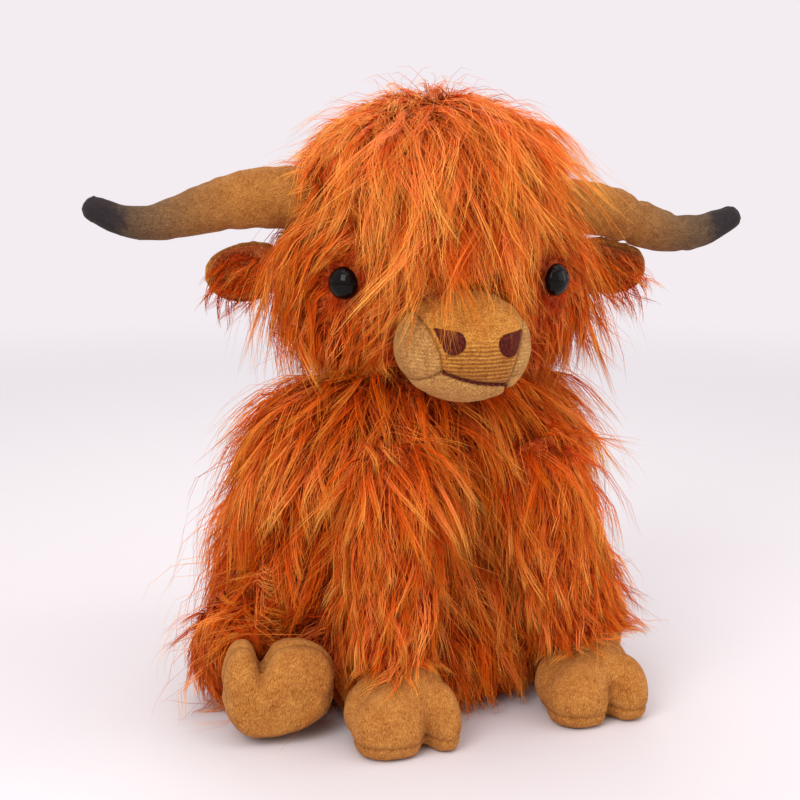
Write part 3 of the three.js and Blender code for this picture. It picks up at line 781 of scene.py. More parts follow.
def locks(roots, normals, combed, length, volume, style, solids, rng):
    """Paths of all strands: some lead locks, most gather in them, some stand free or fill below."""
    number = len(roots)
    combed = swung(combed, normals, rng.normal(size=number) * style["swing"])
    lift = np.clip(style["lift"] + volume * style["rise"] + rng.normal(size=number) * 0.1, 0.02, 0.95)
    loft = (style["loft"] + volume) * rng.uniform(0.25, 1.0, number)
    leaders = rng.choice(number, max(4, number // style["per_lock"]), replace=False)
    reach = length * rng.uniform(0.9, 1.1, number)
    reach[leaders] = length[leaders] * rng.uniform(0.68, 1.28, len(leaders))

    def strands(group, share=1.0, more=0.0, top=0.95, high=1.0, wild=1.0):
        rise = np.clip(lift[group] + more, 0, top)
        return grown(roots[group], normals[group], combed[group], reach[group] * share, rise,
                     loft[group] * high, style, solids, rng, wild)

    lead = strands(leaders)
    own = nearest(roots + rng.normal(size=roots.shape) * 0.9 * MM, roots[leaders])
    along = np.linspace(0, 1, style["steps"] + 1)[None, :, None]
    gather = np.clip(rng.normal(style["gather"], 0.1, number), 0.1, 0.97)[:, None, None]
    offset = (roots - roots[leaders][own])[:, None]
    outer = np.clip(np.linalg.norm(offset[:, 0], axis=1) / (6 * MM), 0, 1)
    size = (rng.uniform(0.78, 1.06, number) - 0.22 * outer)[:, None, None]
    fray = rng.normal(size=(number, 1, 3)) * (along**1.5) * reach[:, None, None] * style["fray"]
    path = roots[leaders][own][:, None] + (lead[own] - lead[own][:, :1]) * size
    path += offset * (1 - gather * along**0.7) + fray
    role = rng.random(number)
    stray, under = role < style["stray"], role > 1 - style["under"]
    if stray.any():
        path[stray] = strands(stray, 1.1, style["stray_lift"], 0.9, 1.5, 1.2)
    if under.any():
        path[under] = strands(under, 0.5, 0.1, 0.9, 0.6, 1.15)
    path[:, 0] = roots - normals * ROOT_DEPTH
    path[:, :, 2] = np.maximum(path[:, :, 2], STRAND_LOWEST)
    tone = drift(roots, 0.012, 5)[:, 0] * 0.08
    lock_shade = rng.normal(0, 0.15, len(leaders))[own]
    # Under strands are painted darker than the rest: painted shade below the locks.
    shade = 0.5 + tone + lock_shade + rng.normal(0, 0.06, number) - 0.12 * under
    return path, shade, stray


def room():
    """The lowest and highest corners that the pile may reach."""
    low, high = (np.array(corner) for corner in CAD_BOX)
    spare = (high - low) * PAST_BOX_SHARE + PAST_BOX
    low, high = low - spare, high + spare
    low[2] = PILE_LOWEST
    return low, high


def tidied(path, solids, cleared):
    """Strands pushed out of hard neighbours, and which of them cross no cleared ball."""
    flat = path[:, 1:].reshape(-1, 3)
    moved = solids.pushed_out(flat, np.full(len(flat), STRAND_GAP))
    path[:, 1:] = np.clip(moved, *room()).reshape(path[:, 1:].shape)
    keep = np.ones(len(path), bool)
    for centre, radius in cleared:
        for share in (0.0, 0.33, 0.67):
            spots = path[:, :-1] * (1 - share) + path[:, 1:] * share
            keep &= (np.linalg.norm(spots - centre, axis=2) > radius).all(1)
    return path, keep


def strand_mesh(name, path, width, shade, rng):
    """Closed, tapering strands with three sides each, with their map."""
    number, points = path.shape[:2]
    rings = points - 1
    ways = unit(np.gradient(path, axis=1))
    across = unit(np.cross(ways, unit(rng.normal(size=(number, 1, 3)))))
    above = np.cross(ways, across)
    along = np.linspace(0, 1, points)
    taper = (1 - along[:rings]) ** 0.55 * np.array([0.8] + [1.0] * (rings - 1))
    radius = width[:, None] / 2 * taper[None]
    turns = (np.arange(RING) * math.tau / RING)[None, None, :, None]
    round_it = np.cos(turns) * across[:, :rings, None] + np.sin(turns) * above[:, :rings, None]
    ring = path[:, :rings, None] + radius[:, :, None, None] * round_it
    verts = np.concatenate([ring.reshape(number, rings * RING, 3), path[:, rings:]], 1)
    each, last = rings * RING + 1, (rings - 1) * RING
    sides = [(j, (j + 1) % RING) for j in range(RING)]
    faces = [(k + i, k + j, k + RING + j, k + RING + i) for k in range(0, last, RING) for i, j in sides]
    faces += [(last + i, last + j, each - 1) for i, j in sides] + [(2, 1, 0)]
    order = np.concatenate(faces)
    starts = np.cumsum([0] + [len(face) for face in faces[:-1]])
    level = np.append(np.repeat(along[:rings], RING), 1.0)
    edge = np.append(np.tile((np.arange(RING) - 1) * 0.012, rings), 0.0)
    mesh = bpy.data.meshes.new(name)
    mesh.vertices.add(number * each)
    mesh.loops.add(number * len(order))
    mesh.polygons.add(number * len(faces))
    base = np.arange(number)[:, None]
    mesh.vertices.foreach_set("co", verts.astype(np.float32).ravel())
    mesh.loops.foreach_set("vertex_index", (order + base * each).astype(np.int32).ravel())
    mesh.polygons.foreach_set("loop_start", (starts + base * len(order)).astype(np.int32).ravel())
    mesh.update(calc_edges=True)
    spots = np.empty((number, len(order), 2), np.float32)
    spots[:, :, 0] = 0.02 + 0.96 * level[order]
    spots[:, :, 1] = np.clip(shade, 0.03, 0.97)[:, None] + edge[order]
    mesh.uv_layers.new(name=FUR_MAP).uv.foreach_set("vector", spots.ravel())
    mesh.shade_smooth()
    return mesh


def same(value):
    """A rule that gives every root one value."""
    return lambda roots, *_: np.full(len(roots), value)


def coat(names, skin, body, style, solids, seed, comb, length, density, split=same(0), volume=same(0.0),
         tint=same(0.0), broad=same(0.0), cleared=()):
    """Covers a backing with long pile, in as many pieces as names says.

    The rules from comb to broad are functions that give each root its value.
    """
    sizes = settings("fur_sizes")
    rng = np.random.default_rng(SEED + seed)
    roots, normals = sample_skin(MADE[skin], sizes.density * style["thick"], density, rng)
    combed = comb(roots, normals)
    combed = unit(combed - normals * (combed * normals).sum(1, keepdims=True))
    lengths = length(roots, normals)
    path, shade, stray = locks(roots, normals, combed, lengths, volume(roots), style, solids, rng)
    path, keep = tidied(path, solids, cleared)
    path, shade, stray = path[keep], shade[keep], stray[keep]
    starts = path[:, 0]
    # Painted light and shade on whole strands: a style's light lightens them, as on the crown, and tint
    # darkens them, as in the eye sockets and on the hind legs; tint also makes the ears' hair darker.
    shade = shade + style.get("light", 0.0) + tint(starts)
    width = sizes.strand_width * style["width"] * rng.uniform(0.6, 1.15, len(path))
    width *= 1 + broad(starts)
    width[stray] *= 0.6
    group = split(starts)
    for index, name in enumerate(names):
        own = group == index
        piece = new_piece(name, strand_mesh(name, path[own], width[own], shade[own], rng))
        finish_piece(piece, body, "long_fur", fur_material())


# How pile grows. per_lock strands make a lock; lift is how steeply they leave the backing, with rise more
# for each metre that they stand out; loft is how high they lie, and gravity, curl and swing bend them;
# gather draws a lock together and fray lets its ends part; stray strands stand free, steeper by
# stray_lift, and under ones fill below, painted darker as shade; thick and width are shares of the density
# and the width;
# light is painted light, a lighter shade for all of a style's strands.
BODY_STYLE = {
    "per_lock": 17, "lift": 0.34, "rise": 14, "loft": 7 * MM, "gravity": 0.3, "curl": 0.34, "steps": 5,
    "swing": 0.24, "gather": 0.87, "fray": 0.022, "stray": 0.05, "stray_lift": 0.35, "under": 0.28,
    "thick": 1.0, "width": 1.0,
}
FACE_STYLE = {
    **BODY_STYLE, "per_lock": 11, "lift": 0.3, "loft": 5 * MM, "gather": 0.72, "thick": 1.3,
    "width": 0.85, "stray": 0.06, "curl": 0.3, "steps": 4,
}
# The crown's light is painted light: its hair is lighter, as where light falls from above.
CROWN_STYLE = {
    **BODY_STYLE, "per_lock": 13, "lift": 0.22, "rise": 3, "loft": 9 * MM, "gravity": 0.5, "gather": 0.74,
    "thick": 1.3, "width": 0.85, "stray": 0.07, "stray_lift": 0.04, "curl": 0.36, "swing": 0.3,
    "fray": 0.03, "under": 0.26, "light": 0.13,
}
LEG_STYLE = {
    **BODY_STYLE, "per_lock": 12, "lift": 0.22, "rise": 4, "loft": 4 * MM, "gravity": 0.6, "thick": 1.1,
    "width": 0.9, "steps": 4,
}
TAIL_STYLE = {**LEG_STYLE, "thick": 1.2}
EAR_STYLE = {**LEG_STYLE, "thick": 1.5, "loft": 2 * MM, "per_lock": 9}
EAR_FRINGE_STYLE = {**LEG_STYLE, "thick": 0.9, "lift": 0.5, "loft": 2 * MM, "per_lock": 6, "under": 0.1}


def body_flow(roots, normals):
    """Down the body and the legs, away from a parting on the chest."""
    front = ease(0.02, -0.05, roots[:, 1])
    part = np.tanh((roots[:, 0] + 0.045) / 0.03) * 0.45
    flare = np.tanh(roots[:, 0] / 0.05) * 0.3
    across = part * front + flare * (1 - front)
    back = 0.12 * (1 - front) - 0.1 * front
    return np.stack([across, back, np.full(len(roots), -1.0)], 1) + drift(roots, 0.022, 11) * 0.5


# The operators, one for each piece or group of like pieces.


class PLUSH_OT_stage(bpy.types.Operator):
    """Camera, lamps, floor and background."""

    bl_idname = "plush.stage"
    bl_label = "Stage"

    # Name, power and its share, place, width and height.
    lamps = (
        ("Key lamp", "key_power", 1.0, (-0.8, -0.72, 0.88), 0.6, 0.8),
        ("Fill lamp", "fill_power", 1.0, (0.85, -0.8, 0.5), 0.9, 0.9),
        ("Strip lamp", "fill_power", 0.5, (1.05, -0.4, 0.4), 0.14, 0.9),
        ("Top lamp", "fill_power", 1.7, (0.05, -0.3, 1.3), 1.2, 0.9),
        ("Back lamp", "fill_power", 0.8, (0.15, 0.8, 0.85), 0.6, 0.5),
    )

    def execute(self, context):
        sizes, scene = settings("stage_sizes"), context.scene
        data = bpy.data.cameras.new("Camera")
        data.lens, data.sensor_width = sizes.lens, 36.0
        azimuth, level = sizes.azimuth, math.cos(sizes.pitch)
        way = Vector((-math.sin(azimuth) * level, math.cos(azimuth) * level, -math.sin(sizes.pitch)))
        scene.camera = self.aimed("Camera", data, Vector(CAMERA_TARGET) * MM - way * CAMERA_DISTANCE, way)
        self.floor(sizes)
        for name, power, share, place, width, height in self.lamps:
            data = bpy.data.lights.new(name, "AREA")
            data.shape, data.size, data.size_y = "RECTANGLE", width, height
            data.energy = getattr(sizes, power) * share
            self.aimed(name, data, place, Vector(LAMP_TARGET) - Vector(place))
        self.world(scene, sizes)
        scene.view_settings.view_transform = "Standard"
        return {"FINISHED"}

    def aimed(self, name, data, place, way):
        """A camera or lamp at a place, that looks along a way."""
        made = bpy.data.objects.new(name, data)
        bpy.context.scene.collection.objects.link(made)
        made.location = place
        made.rotation_euler = way.to_track_quat("-Z", "Y").to_euler()
        return made

    def floor(self, sizes):
        """A pale floor that fades into the background where it is far off."""
        shape = bmesh.new()
        bmesh.ops.create_grid(shape, x_segments=1, y_segments=1, size=FLOOR_HALF)
        floor = new_piece("Floor", shape)
        material, tree, shader = new_material("Pale floor")
        wire(tree, shader, {"Base Color": colour4(settings("plush_colours").floor), "Roughness": 0.7})
        away = add_node(tree, "VectorMath", {0: object_vector(tree)}, operation="LENGTH").outputs["Value"]
        shine = add_node(tree, "Emission", {"Color": colour4(sizes.backdrop)})
        seen = add_node(tree, "LightPath", {}).outputs["Is Camera Ray"]
        far = calc(tree, "MULTIPLY", fit_range(tree, away, 0.35, 1.5), seen)
        blend_shaders(tree, far, shader, shine, "Material Output")
        wear(floor, material)

    def world(self, scene, sizes):
        """Soft light from all round, and the background colour where the room itself is seen."""
        world = bpy.data.worlds.new("Pale room")
        world.use_nodes = True
        scene.world = world
        tree = world.node_tree
        light = tree.nodes["Background"]
        wire(tree, light, {"Color": (1.0, 0.97, 0.98, 1.0), "Strength": sizes.room_light})
        seen = add_node(tree, "Background", {"Color": colour4(sizes.backdrop)})
        rays = add_node(tree, "LightPath", {}).outputs
        direct = calc(tree, "MAXIMUM", rays["Is Camera Ray"], rays["Is Glossy Ray"])
        direct = calc(tree, "MAXIMUM", direct, rays["Is Transmission Ray"])
        blend_shaders(tree, direct, light, seen, "World Output")


class PLUSH_OT_backings(bpy.types.Operator):
    """The backing cloths that the long pile grows from."""

    bl_idname = "plush.backings"
    bl_label = "Backing cloths"

    # Name, body, the nodes it replaces, others that it lies over, size of its faces and share of the depth.
    jobs = [
        ("torso_backing", "torso", ["torso_cover", "torso_filling"], ["seat_panel"], 3.5 * MM, 1.0),
        ("head_backing", "head", ["head_cover", "head_filling"], [], 3 * MM, 0.8),
        ("crown_backing", "head", ["forelock"], ["head_filling"], 3 * MM, 0.4),
        ("tail_core", "tail_body", ["tail"], [], 1.5 * MM, 0.3),
        ("tuft_core", "tail_body", ["tail_tuft"], [], 2 * MM, 0.5),
    ] + [
        (f"{end}_leg_{name}_backing", f"{end}_{name}", [f"{end}_leg_{name}"], [], 2.5 * MM, 0.6)
        for end, name, *_ in LEGS
    ]

    def execute(self, context):
        depth = settings("fur_sizes").base_depth
        cloth = plush_material("Fur backing", (0.42, 0.05, 0.004), 900.0, 0.3, sheen=0.0)
        for name, body, nodes, others, voxel, share in self.jobs:
            MADE[name] = backing(name, nodes + others, voxel, depth * share)
            finish_piece(MADE[name], body, "long_fur", cloth, nodes, fill=0.85)
        return {"FINISHED"}


class PLUSH_OT_muzzle(bpy.types.Operator):
    """The padded muzzle with its seams, nostrils and mouth."""

    bl_idname = "plush.muzzle"
    bl_label = "Muzzle"

    # Lines on the front of the muzzle, in millimetres across and up from its middle.
    mouth_line = [(-14.6, -8.3), (-6.4, -11.4), (1, -13.4), (7.5, -14.5), (14, -15.3), (16, -15.8), (17, -18)]
    chin_lines = [[(-14.6, -8.3), (-20, -11.6), (-29, -16)], [(17, -18), (19, -23)]]
    cheek_lines = [[(-14.6, -8.3), (-15.9, 0), (-19.3, 9), (-25.7, 20)],
                   [(16, -15.8), (19, -4), (23, 8), (27, 18)]]
    nostril_places = {"right": (-10.0, 4.6), "left": (14.4, 2.8)}
    nostril_radius, nostril_tip, nostril_rows = 5.1 * MM, 10.6 * MM, 24

    def execute(self, context):
        parts = ("nose_panel", "cheek_right", "cheek_left", "chin_panel", "filling")
        panels = [f"muzzle_{part}" for part in parts]
        piece = stuffed("muzzle_cover", panels, 1.7 * MM, 1.6 * MM, 0.5 * MM)
        local = straightened(points_of(piece))
        spots = np.stack([local[:, 0], local[:, 2] - MUZZLE_MIDDLE], 1)
        front = local[:, 1] < -34 * MM
        self.sew_seams(piece, spots, front)
        self.mark_panels(piece, spots, front)
        finish_piece(piece, "head", "knit_plush", muzzle_material(), panels, fill=0.8)
        MADE["muzzle"] = piece
        self.cover, self.thread = surface_of(piece), thread_material()
        for name, side in SIDES.items():
            threads = self.nostril(side, np.array(self.nostril_places[name]) * MM)
            self.embroider(f"nostril_{name}_stitches", f"nostril_{name}", threads, 0.33 * MM, 5)
        self.embroider("mouth_backstitch", "mouth_stitch", self.mouth(), 0.7 * MM, 7)
        return {"FINISHED"}

    def sew_seams(self, piece, spots, front):
        """Draws the cover in along its seams and lets it swell beside them, and marks painted shade along the
        seams and the mouth.
        """
        mouth, seams = (
            np.min([distance_to(spots, *pair) for line in lines for pair in pairs(line)], axis=0)
            for lines in ([self.mouth_line], self.chin_lines + self.cheek_lines)
        )
        dip = bell(mouth, 1.3 * MM) * 1.2 + bell(seams, 1.1 * MM) * 0.7
        dip -= bell(np.minimum(mouth, seams) - 4 * MM, 3 * MM) * 0.4
        set_points(piece, points_of(piece) - normals_of(piece) * (dip * MM * front)[:, None])
        # Painted shade in the grooves of the mouth and the seams.
        mark(piece, "seam", (bell(mouth, 0.9 * MM) + bell(seams, 0.55 * MM) * 0.8) * front)

    def mark_panels(self, piece, spots, front):
        """Tells the nose panel from the cheeks and the chin, and says where the ribs show."""
        across, up = spots.T / MM
        mouth = np.array(self.mouth_line)
        right, left = (np.array(line) for line in self.cheek_lines)
        inner = np.minimum(across - np.interp(up, right[:, 1], right[:, 0]),
                           np.interp(up, left[:, 1], left[:, 0]) - across)
        nose = ease(-0.5, 0.5, np.minimum(inner, up - np.interp(across, mouth[:, 0], mouth[:, 1])))
        mark(piece, "nose", nose * front)
        low = nose * (1 - ease(-1.0, 8.0, up)) * (1 - ease(13.0, 19.0, np.abs(across - 1)))
        cheek = (1 - nose) * (up > -12) * 0.35
        mark(piece, "ribbed", (low + cheek + 0.12 * nose) * front)

    def nostril(self, side, centre):
        """Satin stitches side by side over a teardrop whose tip points up and outwards."""
        radius, tip = self.nostril_radius, self.nostril_tip
        lean = math.radians(38)
        along = np.array([side * math.cos(lean), math.sin(lean)])
        beside = np.array([-along[1], along[0]])
        slope = math.asin(radius / tip)
        for row in range(self.nostril_rows):
            off = radius * ((row + 0.5) / self.nostril_rows * 2 - 1)
            round_end = math.sqrt(radius**2 - off**2)
            far = tip - abs(off) / math.tan(slope) if abs(off) < radius * math.cos(slope) else round_end
            thread = []
            for share in np.arange(9) / 8:
                reach = -round_end + (far + round_end) * share
                crown = math.sqrt(max(0.0, 1 - (2 * share - 1) ** 2)) * (0.4 + 0.6 * round_end / radius)
                thread.append((*(centre + along * reach + beside * off), (crown - 0.25) * MM))
            yield thread

    def mouth(self):
        """Backstitches end to end along the mouth."""
        places = even_steps(np.array(self.mouth_line) * MM, 3.0 * MM)
        for first, second in zip(places[:-1], places[1:]):
            thread = []
            for share in np.arange(5) / 4:
                spot = first + (second - first) * (share * 1.04 - 0.02)
                thread.append((*spot, (0.3 * math.sin(math.pi * share) - 0.1) * MM))
            yield thread

    def embroider(self, name, node, threads, radius, sides):
        """Threads on the cover, each through places given across, up and out of it."""
        shape = bmesh.new()
        for thread in threads:
            add_tube(shape, [self.on_cover(*place) for place in thread], radius, sides)
        piece = new_piece(name, shape)
        piece.data.shade_smooth()
        finish_piece(piece, "head", "embroidery", self.thread, [node])

    def on_cover(self, across, up, out):
        start = Vector(turned(np.array([[across, -150 * MM, up + MUZZLE_MIDDLE]]))[0])
        place, normal, _, _ = self.cover.ray_cast(start, Vector(head_way(0, 1, 0)))
        if place is None:
            raise RuntimeError("a stitch lies off the muzzle")
        return place + normal * out


def distance_to(spots, first, second):
    """Distances of flat spots from a line between two corners."""
    along = second - first
    share = np.clip(((spots - first) @ along) / max(along @ along, 1e-12), 0, 1)
    return np.linalg.norm(spots - first - share[:, None] * along, axis=1)


def pairs(line):
    """The stretches of a line that is given in millimetres."""
    corners = np.array(line) * MM
    return list(zip(corners[:-1], corners[1:]))


def even_steps(corners, step):
    """Places at even steps along a line with corners."""
    lengths = np.linalg.norm(np.diff(corners, axis=0), axis=1)
    marks = np.concatenate([[0], np.cumsum(lengths)])
    number = max(2, int(round(marks[-1] / step)) + 1)
    wanted = np.linspace(0, marks[-1], number)
    return np.stack([np.interp(wanted, marks, corners[:, axis]) for axis in (0, 1)], 1)


def add_tube(shape, path, radius, sides):
    """A round-ended tube of thread through some places."""
    rings = []
    for index, place in enumerate(path):
        way = (path[min(index + 1, len(path) - 1)] - path[max(index - 1, 0)]).normalized()
        size = radius * (0.45 if index in (0, len(path) - 1) else 1.0)
        made = bmesh.ops.create_circle(
            shape, cap_ends=False, segments=sides, radius=size, matrix=facing(place, way)
        )
        rings.append(made["verts"])
    for first, second in zip(rings[:-1], rings[1:]):
        edges = {edge for verts in (first, second) for vert in verts for edge in vert.link_edges
                 if edge.other_vert(vert) in verts}
        bmesh.ops.bridge_loops(shape, edges=list(edges))
    for ring in (rings[0], rings[-1]):
        shape.faces.new(ring)
    faces = {face for ring in rings for vert in ring for face in vert.link_faces}
    bmesh.ops.recalc_face_normals(shape, faces=list(faces))


class PLUSH_OT_eyes(bpy.types.Operator):
    """The domed safety eyes and their washers."""

    bl_idname = "plush.eyes"
    bl_label = "Eyes"

    def execute(self, context):
        polished = eye_material()
        plastic, tree, shader = new_material("Moulded washer")
        wire(tree, shader, {"Base Color": (0.7, 0.7, 0.7, 1.0)})
        for name in SIDES:
            piece = new_piece(f"eye_{name}_dome", self.dome(name))
            piece.data.shade_smooth()
            finish_piece(piece, "head", "eye", polished, [f"eye_{name}"])
            wear(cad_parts[f"eye_washer_{name}"], plastic)
        return {"FINISHED"}

    def dome(self, name):
        """A turned dome with a flat back and its shank, as large as the solid."""
        centre, way = eye_place(name)
        away = node_points(f"eye_{name}") - np.array(centre)
        out = away @ np.array(way)
        aside = np.linalg.norm(away - out[:, None] * np.array(way), axis=1)
        radius, shank, top, end = aside.max(), 1.8 * MM, out.max(), out.min()
        level = out[aside > radius * 0.8].min()
        back = level - 0.5 * MM
        turns = [math.pi / 2 * step / 12 for step in range(1, 13)]
        profile = [(0, top)] + [(radius * math.sin(t), level + (top - level) * math.cos(t)) for t in turns]
        profile += [(radius * 0.95, back), (shank, back), (shank, end), (0, end)]
        shape = bmesh.new()
        verts = [shape.verts.new((across, 0, up)) for across, up in profile]
        edges = [shape.edges.new(pair) for pair in zip(verts[:-1], verts[1:])]
        bmesh.ops.spin(shape, geom=verts + edges, cent=(0, 0, 0), axis=(0, 0, 1), angle=math.tau, steps=40,
                       use_merge=True)
        bmesh.ops.remove_doubles(shape, verts=shape.verts, dist=1e-6)
        bmesh.ops.recalc_face_normals(shape, faces=shape.faces)
        bmesh.ops.transform(shape, matrix=facing(centre, way), verts=shape.verts)
        return shape


def eye_place(name):
    """The eye's middle, and the way that it looks: out of its shank, square to its washer."""
    spots = node_points(f"eye_{name}")
    middle = spots.mean(0)
    shank = spots[np.argsort(-apart(spots, middle))[:6]].mean(0)
    dome = spots[apart(spots, shank) > 10 * MM].mean(0)
    axis = Vector(thinnest(node_points(f"eye_washer_{name}")))
    return Vector(middle), axis if axis.dot(Vector(dome - shank)) > 0 else -axis


class PLUSH_OT_horns(bpy.types.Operator):
    """The stuffed horns with their seam and dark tips."""

    bl_idname = "plush.horns"
    bl_label = "Horns"

    # Soft folds where the filling gives way at the bends: how far out, their lean and their depth.
    folds = ((0.098, 0.35, 1.5 * MM), (0.122, -0.2, 0.7 * MM), (0.085, 0.15, 0.5 * MM))

    def execute(self, context):
        material = horn_material()
        for name, side in SIDES.items():
            piece = stuffed(f"horn_{name}_cover", [f"horn_{name}"], 2.2 * MM, 1.8 * MM, 0.6 * MM)
            points, ways = points_of(piece), normals_of(piece)
            out, across, up = (straightened(points) * np.array([side, 1, 1])).T
            aside = np.abs(across) + (1 - ease(-0.2, 0.3, ways[:, 2])) * 5 * MM
            dip = bell(aside, 0.9 * MM) * 0.9 * MM - bell(aside - 2.2 * MM, 1.2 * MM) * 0.35 * MM
            dip += 0.25 * MM * np.sin(out / (1.9 * MM)) * bell(aside, 4 * MM)
            share = 1.0 if side > 0 else 0.35
            dip += sum(deep * bell(out - place - lean * (up - 232 * MM), 2.6 * MM) * share
                       for place, lean, deep in self.folds)
            set_points(piece, points - ways * dip[:, None])
            mark(piece, "from_tip", out.max() - out)
            # Painted shade in the seam's groove.
            mark(piece, "seam", bell(aside, 0.7 * MM) * 0.7)
            finish_piece(piece, "head", "short_plush", material, [f"horn_{name}"], fill=0.8)
            MADE[f"horn_{name}"] = piece
        return {"FINISHED"}


class PLUSH_OT_hooves(bpy.types.Operator):
    """The stuffed hooves with their clefts and sole seams."""

    bl_idname = "plush.hooves"
    bl_label = "Hooves"

    def execute(self, context):
        plush = plush_material("Tan hoof plush", settings("plush_colours").tan, 2400.0, 0.25, 0.8)
        for end, name, spread, aside, _ in LEGS:
            nodes = [f"{end}_leg_{name}_hoof", f"{end}_leg_{name}_sole"]
            piece = stuffed(f"{end}_hoof_{name}_cover", nodes, 2.0 * MM, 2.0 * MM, 0.7 * MM)
            self.sew_sole(piece, node_points(nodes[1]))
            spots = self.cloven(piece, end == "front", spread, aside)
            spots[:, 2] = np.maximum(spots[:, 2], HOOF_LOWEST)
            set_points(piece, spots)
            finish_piece(piece, f"{end}_{name}", "short_plush", plush, nodes, fill=0.8)
            MADE[f"{end}_hoof_{name}"] = piece
        return {"FINISHED"}

    def sew_sole(self, piece, sole):
        """A seam drawn in round the sole's edge, with painted shade in its groove."""
        points, middle, way = points_of(piece), sole.mean(0), thinnest(sole)
        out = way if (points.mean(0) - middle) @ way < 0 else -way
        height = (points - middle) @ -out - SOLE_SEAM
        set_points(piece, points - normals_of(piece) * (bell(height, 1.2 * MM) * 0.6 * MM)[:, None])
        mark(piece, "seam", bell(height, 0.7 * MM) * 0.5)

    def cloven(self, piece, front, spread, aside):
        """A deep cleft between the two toes, which point forwards or, on a hind leg, up."""
        points, ways = points_of(piece), normals_of(piece)
        across = np.array([math.cos(spread), math.sin(spread), 0.0])
        ahead = np.array([0.0, -1.0, 0.0] if front else [0.0, 0.0, 1.0])
        reach, most = ((4 * MM, 20 * MM), 2.5 * MM) if front else ((-2 * MM, 14 * MM), 5 * MM)
        local = points - middle_and_half(points)[0]
        off = local @ across
        moved = aside * (1 - np.clip(off / np.abs(off).max(), -1, 1) ** 2) ** 2
        flat = ways - (ways @ across)[:, None] * across
        upper = ease(-4 * MM, 8 * MM, local[:, 2]) * front
        deep = bell(off, 2.4 * MM) * most - bell(np.abs(off) - 6 * MM, 4 * MM) * 0.6 * MM
        deep = deep * ease(*reach, local @ ahead) * (1 - upper) - bell(off, 4.5 * MM) * 2.2 * MM * upper
        return points - unit(flat) * deep[:, None] + across * moved[:, None]


class PLUSH_OT_ears(bpy.types.Operator):
    """The ears: a lining in a plush back, both cupped at the edge."""

    bl_idname = "plush.ears"
    bl_label = "Ears"

    def execute(self, context):
        colours = settings("plush_colours")
        lining = plush_material("Rust ear lining", colours.ear_lining, 1900.0, 0.3)
        plush = plush_material("Tan ear plush", colours.tan)
        for name in SIDES:
            for layer, slot, material, fill in (
                ("front", "ear_lining", lining, 0.4), ("back", "short_plush", plush, 0.5)
            ):
                node = f"ear_{layer}_{name}"
                MADE[node] = self.layer(node, layer == "front")
                finish_piece(MADE[node], f"ear_{name}", slot, material, [node], fill=fill)
        return {"FINISHED"}

    def layer(self, node, inner):
        piece = cad_copy(f"{node}_cover", [node])
        remesh(piece, 1.1 * MM)
        soften(piece, 5)
        local = straightened(points_of(piece))
        middle, half = middle_and_half(local)
        away = from_middle(local, middle, half)
        if inner:
            shrink = 1 - 0.1 * ease(0.6, 1.0, away)
            for axis in (0, 2):
                local[:, axis] = middle[axis] + (local[:, axis] - middle[axis]) * shrink
        local[:, 1] += -3.2 * MM * ease(0.35, 1.1, away)
        local[:, 2] -= 2.2 * MM * ease(0.2, 1.0, (local[:, 2] - middle[2]) / half[2])
        set_points(piece, turned(local))
        refine(piece)
        return piece


class PLUSH_OT_inner_pieces(bpy.types.Operator):
    """The seat panel and the pellet bag."""

    bl_idname = "plush.inner_pieces"
    bl_label = "Underside and pellets"

    def execute(self, context):
        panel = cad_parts["seat_panel"]
        wear(panel, cloth_material("Underside cloth", (0.45, 0.14, 0.04)))
        bag = cad_copy("pellet_bag_cover", ["pellet_bag"])
        remesh(bag, 3 * MM)
        soften(bag, 3)
        refine(bag)
        cloth = cloth_material("Bag cloth", (0.75, 0.74, 0.7))
        finish_piece(bag, "torso", "pellet_bag", cloth, ["pellet_bag"], fill=0.6)
        return {"FINISHED"}


class PLUSH_OT_body_fur(bpy.types.Operator):
    """Long fur on the body."""

    bl_idname = "plush.body_fur"
    bl_label = "Body fur"

    def execute(self, context):
        long = settings("fur_sizes").body_length
        legs = sorted(LEGS, key=lambda leg: leg[0])
        covers = [f"{end}_leg_{name}_backing" for end, name, *_ in legs]
        covers += [f"{end}_hoof_{name}" for end, name, *_ in legs]

        def length(roots, normals):
            across, _, up = roots.T
            hip = 0.25 * ease(0.045, 0.07, np.abs(across)) * ease(0.04, 0.06, up) * (1 - ease(0.1, 0.12, up))
            size = 0.6 + 0.4 * ease(0.0, 0.05, up) + 0.25 * ease(0.12, 0.145, up) + hip
            return long * size * (1 + 0.12 * drift(roots, 0.03, 3)[:, 0])

        def density(places, ways):
            _, back, up = places.T
            return (1 - ease(0.163, 0.172, up)) * ease(0.002, 0.008, up) * (1 - 0.4 * ease(-0.01, 0.03, back))

        def volume(roots):
            """The flanks stand out further than the solids, and the right one most."""
            across, back, up = roots.T
            sides = ease(-0.035, -0.075, across) * 14 * MM + ease(0.04, 0.08, across) * 3 * MM
            chest = ease(-0.03, -0.07, back) * 3 * MM * ease(0.09, 0.12, up)
            return sides * ease(0.0, 0.04, up) + chest

        def broad(roots):
            return 0.25 * ease(-0.01, 0.03, roots[:, 1])

        def split(roots):
            angle = np.arctan2(roots[:, 0], -(roots[:, 1] + 0.01))
            return np.digitize(angle, [-2.4, -1.5, -0.5, 0.5, 1.5, 2.4]) % 6

        # Round the body from behind by its right side, as split numbers them.
        parts = ("back", "right_back", "right_flank", "chest", "left_flank", "left_back")
        coat([f"{part}_fur" for part in parts], "torso_backing", "torso", BODY_STYLE,
             Solids("torso_backing", "muzzle", *covers), 1, body_flow, length, density, split, volume,
             broad=broad)
        return {"FINISHED"}


